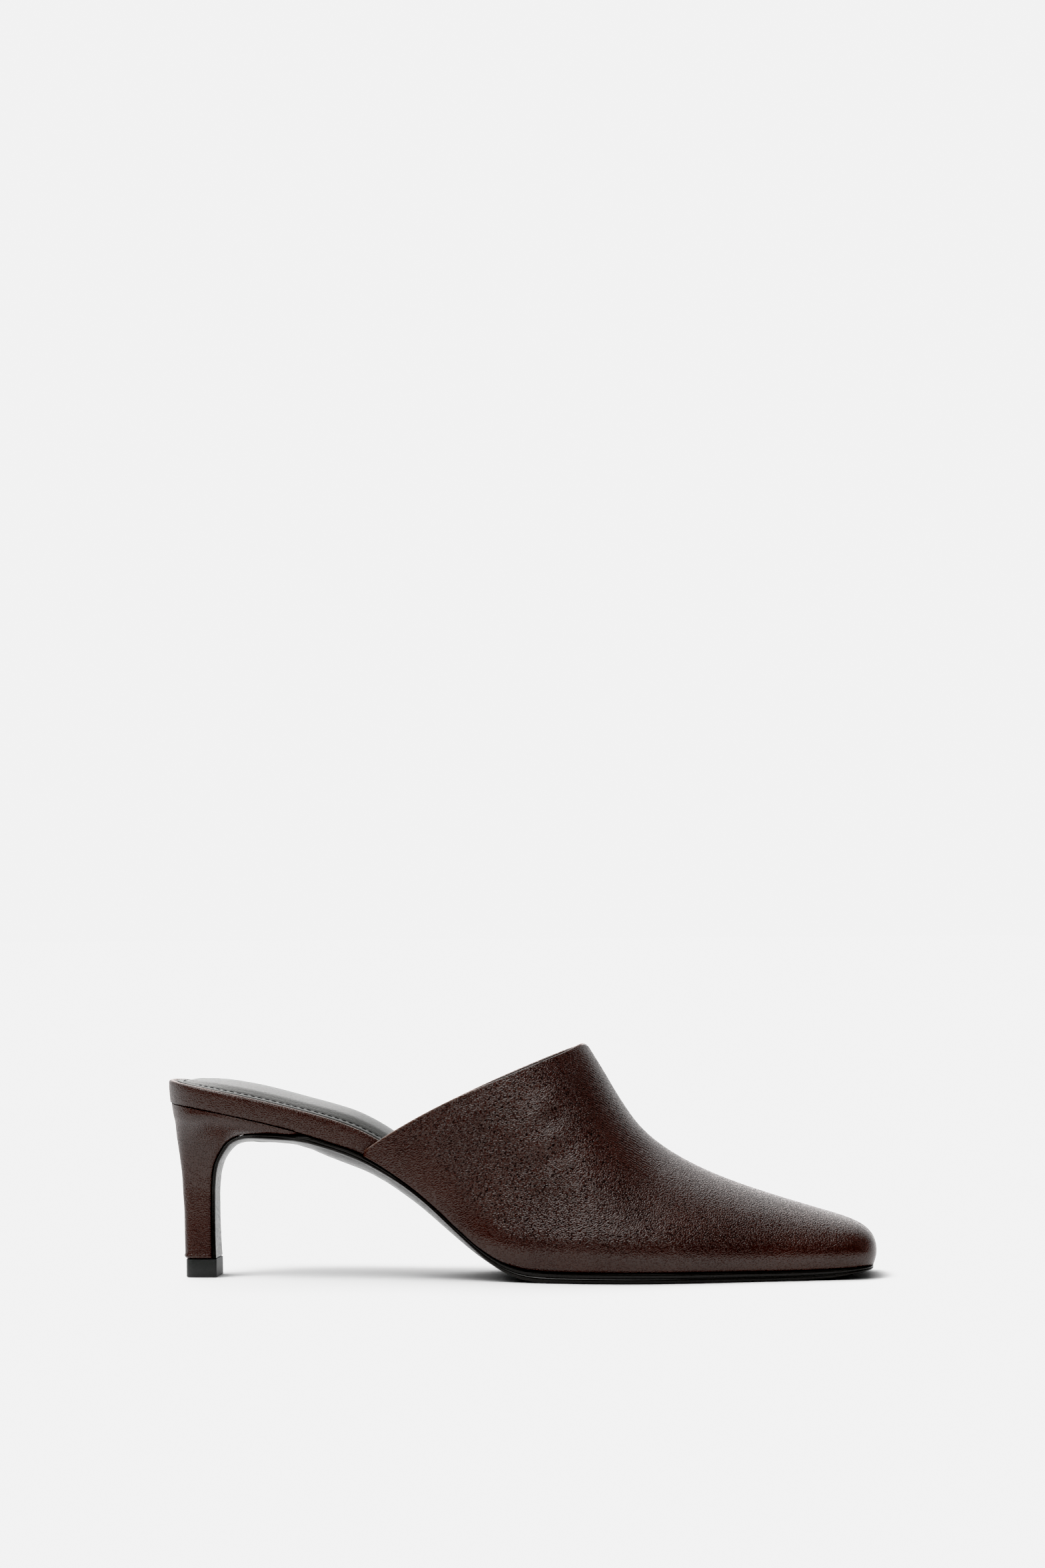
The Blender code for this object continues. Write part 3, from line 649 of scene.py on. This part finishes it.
def make_sock(leather):
    """The padded sock, with a rolled edge, a stitched groove and a soft crown."""
    s = stations(SOCK_INSET)
    widths = {side: half_width(side, s, SOCK_INSET) for side in (OUTER, INNER)}
    parts = np.linspace(-1, 1, 2 * SOCK_STEPS + 1)
    parts = np.sign(parts) * (1 - (1 - np.abs(parts)) ** SOCK_CROWDING)
    lines = []
    for part in parts:
        half = widths[OUTER if part < 0 else INNER]
        room = np.minimum(half * (1 - abs(part)), s - SOCK_INSET)
        level = sock_top(abs(part), s, room) - SOCK_LIP * (abs(part) == 1)
        lines.append(np.stack([s, part * half, level], axis=-1))
    under = BOARD("over", s) + SOCK_UNDER
    for side in (INNER, OUTER):
        lines.append(np.stack([s, side * widths[side] * SOCK_UNDERCUT, under], axis=-1))
    made = ring_solid("sock_pad", np.stack(lines, axis=1), leather, ends=False)
    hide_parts("sock")
    return made


STITCH_LENGTH, STITCH_STEP, STITCH_RADIUS, FIRST_STITCH = 1.85, 2.5, 0.22, 1.0
STITCH_RINGS, STITCH_AROUND = 7, 8
STITCH_UP, STITCH_DIP = 0.08, 0.12  # above the groove's floor, and how far its ends sink
STITCH_BLUNT, STITCH_END = 0.45, 0.05  # how blunt the ends are, and the sine that sets their last ring
STITCHED_TO = 168  # the row runs this far into the upper


def stitch_path():
    """The line of the stitches, from inside the upper round the seat and back, as points."""
    inset = SOCK_INSET + STITCH_INSET
    s = stations(inset, seat=60, middle=400, toe=4)
    s = s[s < STITCHED_TO]
    lines = []
    for side in (OUTER, INNER):
        half = half_width(side, s, inset)
        share = half / half_width(side, s, SOCK_INSET)
        level = sock_top(share, s, STITCH_INSET) + STITCH_UP
        points = np.stack([s, side * half, level], axis=-1)
        lines.append(points[::-1] if side == OUTER else points[1:])
    return np.concatenate(lines)


def make_stitches(thread):
    """The sock's row of stitches: short capsules along a line inside its edge."""
    path = stitch_path()
    lengths = np.concatenate([[0], np.cumsum(np.linalg.norm(np.diff(path, axis=0), axis=1))])

    def at(a):
        return np.array([np.interp(a, lengths, path[:, k]) for k in range(3)])

    points, faces = [], []
    for start in np.arange(FIRST_STITCH, lengths[-1] - STITCH_LENGTH, STITCH_STEP):
        ends = at(start), at(start + STITCH_LENGTH)
        forward = (ends[1] - ends[0]) / np.linalg.norm(ends[1] - ends[0])
        side = np.cross(forward, [0, 0, 1.0])
        side /= np.linalg.norm(side)
        up = np.cross(side, forward)
        numbers = len(points) + np.arange(STITCH_RINGS * STITCH_AROUND).reshape(STITCH_RINGS, -1)
        for k in range(STITCH_RINGS):
            u = k / (STITCH_RINGS - 1)
            size = STITCH_RADIUS * max(math.sin(math.pi * u), STITCH_END) ** STITCH_BLUNT
            middle = ends[0] + (ends[1] - ends[0]) * u - up * STITCH_DIP * (2 * u - 1) ** 4
            for turn in 2 * math.pi * np.arange(STITCH_AROUND) / STITCH_AROUND:
                points.append(middle + size * (math.cos(turn) * side + math.sin(turn) * up))
        faces += quads(*np.hstack([numbers, numbers[:, :1]]))
        faces += [numbers[0][::-1], numbers[-1]]
    made = mesh_object("sock_stitches", np.array(points), drop_flat(faces), [thread])
    weld(made)
    return made


# ---- the sole and the heel

# The sole's edge from top to bottom: inset, and share of the edge's height
SOLE_EDGE = [
    (0.9, 0.0), (0.3, 0.02), (0.05, 0.1), (0.0, 0.2), (0.0, 0.42), (0.08, 0.47), (0.3, 0.5), (0.3, 0.53),
    (0.1, 0.57), (0.02, 0.63), (0.0, 0.72), (0.06, 0.86), (0.25, 0.95), (0.7, 1.0),
]
SOLE_ACROSS = 1 - np.arange(2, 48, 2) / 24  # its middle, between one edge at 1 and the other at -1
ARCH_GAP, ARCH_END = 1.5, 125  # behind ARCH_END the sole stands this many gaps under the board

LAST_ROW = 13  # of FLAP and HEEL
FLAP_STEPS = 91
FLAP_SEATED = 0.27  # how far the flap's polish reaches into its gap with the heel
FLAP_EDGE = 0.3  # the flap's edge has this share of the sole's insets

HEEL_STEPS = (99, 29)  # down to the last row but one, and from there to the hem
HEEL_AROUND, TIP_AROUND = 112, 96
HEEL_SEAT_RISE = 0.2  # the cover's upper edge stands this much closer to the board
HEM_OUT, HEM_AT, HEM_WIDE = 0.22, 0.8, 0.6  # the leather's turned-in hem, by its height over the tip
HEM_UNDER, HEM_UNDER_OVER = 0.3, 0.35  # and how far it turns in at its foot, over what height
TIP_ORDERS = (5.0, 30.0)  # how square its back and front are
# The tip's side from the floor up: z and inset
TIP_EDGE = [(0.0, 0.28), (0.1, 0.08), (0.3, 0.0), (3.0, 0.0), (6.1, 0.0), (6.3, 0.08), (TIP_TOP_Z, 0.3)]


def sole_rings():
    """The sole ahead of the shank, from its toe. A ring is its outer edge, underside and inner edge."""
    keep = stations(0.0) > SHANK_S
    lines = {OUTER: [], INNER: []}
    for inset, share in SOLE_EDGE:
        grown = inset - WALL - GAP
        s = stations(grown)[keep]
        top = BOARD("under", s) - GAP * np.where(s < ARCH_END, ARCH_GAP, 1.0)
        level = top + (SOLE("edge", s) - top) * share
        for side, line in lines.items():
            y = half_width(side, s, grown) - (1 - ramp(*SOLE_WIDENS, s)) * (WALL + GAP)
            line.append(np.stack([s, side * y, level], axis=-1))
    first, last = lines[OUTER][-1], lines[INNER][-1]
    across = []
    for part in SOLE_ACROSS:
        row = (first * (1 + part) + last * (1 - part)) / 2
        row[:, 2] -= SOLE("bulge", row[:, 0]) * (1 - part * part)
        across.append(row)
    return np.stack(lines[OUTER] + across + lines[INNER][::-1], axis=1)[::-1]


def flap_rings():
    """The flap that carries the sole on under the heel's wedge and down its breast."""
    rings = []
    for row in np.linspace(0, LAST_ROW, FLAP_STEPS + 1):
        back, front = (np.array([FLAP(end + "_s", row), FLAP(end + "_z", row)]) for end in ("back", "front"))
        half = FLAP("half", row)
        out = (front - back) / np.hypot(*(front - back))
        back = back - out * FLAP_SEATED
        edge = [(half - FLAP_EDGE * inset, back + (front - back) * share) for inset, share in SOLE_EDGE]
        left = [(p[0], -y, p[1]) for y, p in edge]
        right = [(p[0], y, p[1]) for y, p in edge][::-1]
        across = []
        for part in -SOLE_ACROSS:
            point = front + out * FLAP("bulge", row) * (1 - part * part)
            across.append((point[0], edge[-1][0] * part, point[1]))
        rings.append(left + across + right)
    return np.array(rings)


def make_sole(gloss):
    """The outsole with its flap."""
    made = ring_solid("sole_gloss", np.concatenate([sole_rings(), flap_rings()]), gloss, sharp=50)
    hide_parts("outsole")
    return made


def heel_ring(back_s, back_z, front_s, front_z, bow, half, back_order, front_order, around):
    """A closed ring, bowed from back to front, whose two halves have their own squareness."""
    turn = 2 * math.pi * (np.arange(around) + 0.5) / around
    c, d = np.cos(turn), np.sin(turn)
    power = 2 / np.where(c > 0, front_order, back_order)
    along = np.sign(c) * np.abs(c) ** power
    across = np.sign(d) * np.abs(d) ** power
    middle, reach = (back_s + front_s) / 2, (front_s - back_s) / 2
    z = (back_z + front_z) / 2 + (front_z - back_z) / 2 * along + bow * (1 - along * along)
    return np.stack([middle + reach * along, half * across, z], axis=-1)


def make_heel(leather):
    """The covered heel."""
    rings = []
    steps, hem_steps = HEEL_STEPS
    body = np.linspace(0, LAST_ROW - 1, steps + 1)
    for row in np.append(body, np.linspace(LAST_ROW - 1, LAST_ROW, hem_steps + 1)[1:]):
        ring = {name: float(HEEL(name, row)) for name in HEEL.names[1:]}
        up = ring["back_z"] - HEEL_TOP_Z
        hem = HEM_OUT * math.exp(-(((up - HEM_AT) / HEM_WIDE) ** 2))
        hem -= HEM_UNDER * max(0.0, 1 - up / HEM_UNDER_OVER)
        for height in ("back_z", "front_z"):
            ring[height] += HEEL_SEAT_RISE * max(0.0, 1 - row)
        ring["back_s"] -= hem
        ring["half"] += hem
        rings.append(heel_ring(**ring, around=HEEL_AROUND))
    made = ring_solid("heel_cover", rings, leather, sharp=40)
    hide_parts("heel")
    return made


def make_tip(rubber):
    """The heel's rubber top piece: rounded behind, and flat in front."""
    rings = [
        heel_ring(TIP_BACK + inset, z, TIP_FRONT - inset, z, 0.0, TIP_HALF - inset, *TIP_ORDERS, TIP_AROUND)
        for z, inset in TIP_EDGE
    ]
    made = ring_solid("tip_rubber", rings, rubber, sharp=35)
    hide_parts("heel_tip")
    return made


# ---- materials

# Two tones of each material, between which a noise runs
BROWN = (0.048, 0.0185, 0.0135, 1), (0.034, 0.0125, 0.009, 1)
LINING = (0.075, 0.069, 0.064, 1), (0.06, 0.055, 0.051, 1)
BLACK = (0.036, 0.037, 0.034, 1), (0.030, 0.031, 0.028, 1)
POLISH = (0.012, 0.0105, 0.0095, 1), (0.018, 0.016, 0.014, 1)
RUBBER = (0.022, 0.023, 0.023, 1), (0.044, 0.045, 0.043, 1)
THREAD = (0.004, 0.004, 0.004, 1), (0.012, 0.012, 0.012, 1)
FLOOR = (0.86, 0.86, 0.86, 1), (0.87, 0.87, 0.87, 1)
# the tone of the painted highlight along the edges
EDGE_HIGHLIGHT_TONE = (0.13, 0.07, 0.052, 1)
SHINE = (1.0, 0.95, 0.92, 1)  # tint of the leather's reflections
ROUGH_CUT = (0.3, 0.7)  # where a noise leaves the roughness lowest and highest

FINER, FINE_SHARE = 2.4, 0.03  # the finest noise's scale beside the plates', and its part of the relief
BENDS, BENT = 0.7, 0.4  # the noise that bends the plates' edges: its scale and reach beside theirs
PATCHES, HIGHLIGHT_SPOTS = 38.0, 260.0  # scales of the noises that spread the two tones and break the painted highlight into spots
PLATE_CUT, PATCH_CUT, HIGHLIGHT_SPOTS_CUT = (0.25, 0.75), (0.35, 0.65), (0.35, 0.6)  # where a noise is 0 and 1
HIGHLIGHT_LEAST = 0.35  # of the painted highlight, between its spots
VALLEY_CUT = (0.1, 0.55)  # in the relief: all crease, and none
CREASE_PAINTED_SHADE = 0.22  # painted shade in the creases: what a crease leaves of the darker tone and of the reflections
VALLEY_DULL = 0.3  # the roughness that it adds
SMOOTH_RELIEF, SMOOTH_VALLEY = 0.35, 0.4  # what is left of the relief, and of the creases' painted shade and dullness, where the leather is pulled smooth
LEATHER_LEVEL = 0.7  # "Specular IOR Level"
GRAIN_RUN = (25, 1.45)  # degrees up towards the toe on the shoe's sides, and how drawn out the grain is
FOLDS_RUN = (-32, 3.2)
FOLDS_WIDER = 1.2  # the folds' plates beside the grain's
FOLDS_APART = 0.00064  # from one wrinkle to the next
FOLDS_SHARE = 0.42  # of the folds' relief, the wrinkles' part
FOLDS_DEEPER = 1.9
WAVE_RADIANS = 20  # of Blender's wave texture, to its unit


class Nodes:
    """Adds nodes to one tree and links them."""

    def __init__(self, tree):
        self.tree = tree

    def feed(self, node, inputs):
        """Links or sets a node's inputs."""
        for name, value in inputs.items():
            socket = node.inputs[name]
            if isinstance(value, bpy.types.NodeSocket):
                self.tree.links.new(value, socket)
            else:
                socket.default_value = value

    def add(self, kind, inputs=None, **settings):
        node = self.tree.nodes.new(kind)
        for name, value in settings.items():
            setattr(node, name, value)
        self.feed(node, inputs or {})
        return node

    def math(self, operation, *values):
        return self.add("ShaderNodeMath", dict(enumerate(values)), operation=operation).outputs[0]

    def vector(self, operation, inputs, output=0):
        return self.add("ShaderNodeVectorMath", inputs, operation=operation).outputs[output]

    def mix(self, factor, a, b):
        """Between two colours."""
        return self.add("ShaderNodeMix", {0: factor, 6: a, 7: b}, data_type="RGBA").outputs[2]

    def fade(self, factor, a, b):
        """Between two numbers."""
        return self.add("ShaderNodeMix", {0: factor, 2: a, 3: b}, data_type="FLOAT").outputs[0]

    def remap(self, value, low, high, to_low, to_high, **settings):
        inputs = {0: value, 1: low, 2: high, 3: to_low, 4: to_high}
        return self.add("ShaderNodeMapRange", inputs, **settings).outputs[0]

    def noise(self, coords, scale, detail, output="Fac"):
        inputs = {"Vector": coords, "Scale": scale, "Detail": detail}
        return self.add("ShaderNodeTexNoise", inputs).outputs[output]

    def attribute(self, name):
        return self.add("ShaderNodeAttribute", attribute_name=name).outputs["Fac"]

    def bump(self, height, distance, strength=1.0):
        inputs = {"Height": height, "Distance": distance, "Strength": strength}
        return self.add("ShaderNodeBump", inputs).outputs[0]


def new_material(name):
    """A material, its nodes, its shader, and the object's own coordinates in it."""
    made = bpy.data.materials.new(name)
    made.use_nodes = True
    nodes = Nodes(made.node_tree)
    coords = nodes.add("ShaderNodeTexCoord").outputs["Object"]
    return made, nodes, made.node_tree.nodes["Principled BSDF"], coords


def pebbles(nodes, coords, size):
    """A height field of small rounded plates of about this size, parted by fine creases."""
    warp = nodes.noise(coords, BENDS / size, 1.0, "Color")
    moved = nodes.vector("SUBTRACT", {0: warp, 1: (0.5, 0.5, 0.5)})
    scaled = nodes.vector("SCALE", {0: moved, "Scale": BENT * size})
    bent = nodes.vector("ADD", {0: coords, 1: scaled})
    return nodes.remap(nodes.noise(bent, 1 / size, 0.0), *PLATE_CUT, 0.0, 1.0)


def slanting(nodes, coords, slope, stretch):
    """Coordinates in which a texture is drawn out along this slope."""
    inputs = {
        "Vector": coords,
        "Rotation": (0, math.radians(-slope), 0),
        "Scale": (stretch, 1.0, 1 / math.sqrt(stretch)),
    }
    return nodes.add("ShaderNodeMapping", inputs, vector_type="TEXTURE").outputs[0]


def wrinkles(nodes, coords):
    """A height field of long wavering ridges, side by side along the folds' slope."""
    turned = slanting(nodes, coords, FOLDS_RUN[0], 1.0)
    scale = 2 * math.pi / (WAVE_RADIANS * FOLDS_APART)
    bands = {"Vector": turned, "Scale": scale, "Distortion": 4.0, "Detail": 1.0, "Detail Scale": 0.8}
    return nodes.add("ShaderNodeTexWave", bands, wave_type="BANDS", bands_direction="Z").outputs["Fac"]


def leather(name, tones, size, depth, rough, creased=1.0, folds=False, highlight_tone=None, **others):
    """Grained leather: plates of this size and depth, with painted shade and more roughness in the creases,
    broad patches of two tones, and, given a highlight tone, a painted highlight along the edges that a point
    attribute marks. With folds, the attributes "grain" and "folds" say where it is pulled smooth and where it
    folds. The others are more of the shader's sockets."""
    made, nodes, shader, coords = new_material(name)
    height = pebbles(nodes, slanting(nodes, coords, *GRAIN_RUN) if folds else coords, size)
    if folds:
        slanted = pebbles(nodes, slanting(nodes, coords, *FOLDS_RUN), FOLDS_WIDER * size)
        slanted = nodes.fade(FOLDS_SHARE, slanted, wrinkles(nodes, coords))
        folded = nodes.attribute("folds")
        height = nodes.fade(folded, height, slanted)
    relief = nodes.math("MULTIPLY_ADD", nodes.noise(coords, FINER / size, 2.0), FINE_SHARE, height)
    # the creases' mask: it paints shade into the colour and the reflections, and adds roughness
    valley = nodes.remap(height, *VALLEY_CUT, creased, 0.0)
    if folds:
        grain = nodes.attribute("grain")
        relief = nodes.math("MULTIPLY", relief, nodes.remap(grain, 0, 1, SMOOTH_RELIEF, 1))
        relief = nodes.math("MULTIPLY", relief, nodes.remap(folded, 0, 1, 1, FOLDS_DEEPER))
        valley = nodes.math("MULTIPLY", valley, nodes.remap(grain, 0, 1, SMOOTH_VALLEY, 1))
    patches = nodes.remap(nodes.noise(coords, PATCHES, 2.0), *PATCH_CUT, 0.0, 1.0)
    # painted shade: in the creases the colour darkens to a share of the darker tone
    crease_shaded_tone = [CREASE_PAINTED_SHADE * c for c in tones[1][:3]]
    colour = nodes.mix(valley, nodes.mix(patches, *tones), (*crease_shaded_tone, 1))
    # painted highlight: a light tone along the marked edges, broken into spots
    if highlight_tone:
        highlight_spots = nodes.remap(nodes.noise(coords, HIGHLIGHT_SPOTS, 3.0), *HIGHLIGHT_SPOTS_CUT, HIGHLIGHT_LEAST, 1.0)
        colour = nodes.mix(nodes.math("MULTIPLY", nodes.attribute("edge_highlight"), highlight_spots), colour, highlight_tone)
    nodes.feed(shader, {
        "Base Color": colour,
        # painted shade: the creases dim the reflections as well
        "Specular Tint": nodes.mix(valley, SHINE, (*[CREASE_PAINTED_SHADE] * 3, 1)),
        "Roughness": nodes.math("MULTIPLY_ADD", valley, VALLEY_DULL, rough),
        "Normal": nodes.bump(relief, depth),
        "Specular IOR Level": LEATHER_LEVEL,
        **others,
    })
    return made


def simple(name, tones, scale, detail, rough, relief=None, level=None, drawn=None):
    """A material whose tones, roughness and relief (distance, strength) follow one noise, drawn out by three
    scales if they are given. A single roughness is even."""
    made, nodes, shader, coords = new_material(name)
    if drawn:
        coords = nodes.add("ShaderNodeMapping", {"Vector": coords, "Scale": drawn}).outputs[0]
    noise = nodes.noise(coords, scale, detail)
    inputs = {"Base Color": nodes.mix(noise, *tones)}
    inputs["Roughness"] = nodes.remap(noise, *ROUGH_CUT, *rough) if isinstance(rough, tuple) else rough
    if relief:
        inputs["Normal"] = nodes.bump(noise, *relief)
    if level is not None:
        inputs["Specular IOR Level"] = level
    nodes.feed(shader, inputs)
    return made


# ---- studio

FLOOR_SIZE = 60.0

# Soft lights round the shoe: elevation and azimuth in degrees (0 at the toe, 90 beyond the shoe), how tight
# each is, and its strength
LIGHTS = [
    (60, 212, 22, 6.4),
    (62, 150, 14, 1.8),
    (58, 270, 20, 2.4),
    (39, 98, 13, 3.8),
    (33, 0, 14, 0.4),
]
WALL_LIGHT = 1.0
WALL_FROM, WALL_TOP = (-0.1, 0.75), (0.12, 0.36)  # y of directions, none to all, and z, all to none
PAPER = 0.95  # the backdrop as it is seen, on every side

CAMERA_TURN = math.radians(4.0)
CAMERA_AWAY, CAMERA_UP = 1.4, 0.12
CAMERA_AT = (0.0005, 0.0003)  # the point on the floor that it turns round
CAMERA_ROLL = math.radians(0.41)
LENS, SENSOR = 92.14, 36.0  # millimetres
SHIFT_X, SHIFT_Y = 0.00105, 0.0938

# A print's response: deep blacks, and a paper white that just holds the floor's tone
FILM = [
    (0.0, 0.0), (0.016, 0.002), (0.06, 0.046), (0.3, 0.3), (0.6, 0.67), (0.78, 0.83), (0.9, 0.873),
    (1.0, 0.885),
]


def make_floor(paper):
    """A plain floor."""
    mesh = bpy.data.meshes.new("floor")
    corners = [(x * FLOOR_SIZE, y * FLOOR_SIZE, 0) for x, y in ((-1, -1), (1, -1), (1, 1), (-1, 1))]
    mesh.from_pydata(corners, [], [(0, 1, 2, 3)])
    mesh.materials.append(paper)
    floor = bpy.data.objects.new("floor", mesh)
    bpy.context.scene.collection.objects.link(floor)


def make_world():
    """The studio at infinity: a white wall low behind the shoe, soft lights high round it, a dark front."""
    world = bpy.data.worlds.new("studio")
    bpy.context.scene.world = world
    world.use_nodes = True
    world.cycles.sampling_method = "MANUAL"
    world.cycles.sample_map_resolution = 256
    nodes = Nodes(world.node_tree)
    direction = nodes.add("ShaderNodeTexCoord").outputs["Generated"]
    split = nodes.add("ShaderNodeSeparateXYZ", {0: direction}).outputs
    behind = nodes.remap(split[1], *WALL_FROM, 0.0, 1.0, interpolation_type="SMOOTHSTEP")
    low = nodes.remap(split[2], *WALL_TOP, 1.0, 0.0, interpolation_type="SMOOTHSTEP")
    total = nodes.math("MULTIPLY", nodes.math("MULTIPLY", behind, low), WALL_LIGHT)
    for elevation, azimuth, tightness, strength in LIGHTS:
        e, a = math.radians(elevation), math.radians(azimuth)
        at = (math.cos(e) * math.cos(a), math.cos(e) * math.sin(a), math.sin(e))
        cosine = nodes.vector("DOT_PRODUCT", {0: direction, 1: at}, "Value")
        falloff = nodes.math("EXPONENT", nodes.math("MULTIPLY_ADD", cosine, tightness, -tightness))
        total = nodes.math("MULTIPLY_ADD", falloff, strength, total)
    seen = nodes.add("ShaderNodeLightPath").outputs["Is Camera Ray"]
    background = world.node_tree.nodes["Background"]
    nodes.feed(background, {"Strength": nodes.fade(seen, total, PAPER), "Color": (1, 1, 1, 1)})


def make_camera():
    """The photo's camera: level, above the shoe, with its frame shifted up so that the shoe stands low."""
    camera = bpy.data.cameras.new("camera")
    camera.lens, camera.sensor_width = LENS, SENSOR
    camera.shift_x, camera.shift_y = SHIFT_X, SHIFT_Y
    camera.clip_start, camera.clip_end = 0.05, 200
    made = bpy.data.objects.new("camera", camera)
    bpy.context.scene.collection.objects.link(made)
    c, s = math.cos(CAMERA_TURN), math.sin(CAMERA_TURN)
    side, up, back = np.array([c, s, 0]), np.array([0, 0, 1.0]), np.array([s, -c, 0])
    matrix = np.eye(4)
    matrix[:3, 0] = side * math.cos(CAMERA_ROLL) - up * math.sin(CAMERA_ROLL)
    matrix[:3, 1] = up * math.cos(CAMERA_ROLL) + side * math.sin(CAMERA_ROLL)
    matrix[:3, 2] = back
    matrix[:3, 3] = np.array([*CAMERA_AT, CAMERA_UP]) + back * CAMERA_AWAY
    made.matrix_world = Matrix(matrix.tolist())
    bpy.context.scene.camera = made


def set_film():
    """Puts FILM into the view settings."""
    settings = bpy.context.scene.view_settings
    settings.view_transform = "Standard"
    settings.use_curve_mapping = True
    mapping = settings.curve_mapping
    mapping.extend = "HORIZONTAL"
    curve = mapping.curves[3]  # the combined one
    curve.points[0].location, curve.points[1].location = FILM[0], FILM[-1]
    for point in FILM[1:-1]:
        curve.points.new(*point)
    mapping.update()


def main():
    set_film()
    upper = leather("upper_leather", BROWN, size=0.00041, depth=0.00015, rough=0.16, folds=True, highlight_tone=EDGE_HIGHLIGHT_TONE)
    cover = leather("cover_leather", BROWN, size=0.00041, depth=0.00009, rough=0.26, creased=0.45, highlight_tone=EDGE_HIGHLIGHT_TONE)
    lining = leather("lining_leather", LINING, size=0.0006, depth=0.00003, rough=0.55, creased=0.3)
    sheen = {"Specular IOR Level": 0.5, "Sheen Weight": 0.15, "Sheen Roughness": 0.35}
    sock = leather("sock_leather", BLACK, size=0.0005, depth=0.00003, rough=0.36, creased=0.2, **sheen)
    make_upper(upper, lining)
    make_board(cover)
    make_sock(sock)
    make_stitches(simple("black_thread", THREAD, 5000, 1.0, rough=0.8, relief=(0.00004, 0.8)))
    brushed = {"drawn": (60, 900, 900), "relief": (0.00002, 0.3)}
    make_sole(simple("sole_polish", POLISH, 1.0, 2.0, rough=(0.2, 0.32), level=0.4, **brushed))
    make_heel(cover)
    make_tip(simple("tip_rubber", RUBBER, 2600, 3.0, rough=(0.38, 0.52), relief=(0.00005, 0.7)))
    make_floor(simple("floor_paper", FLOOR, 3.0, 2.0, rough=0.9, level=0.0))
    make_world()
    make_camera()


main()
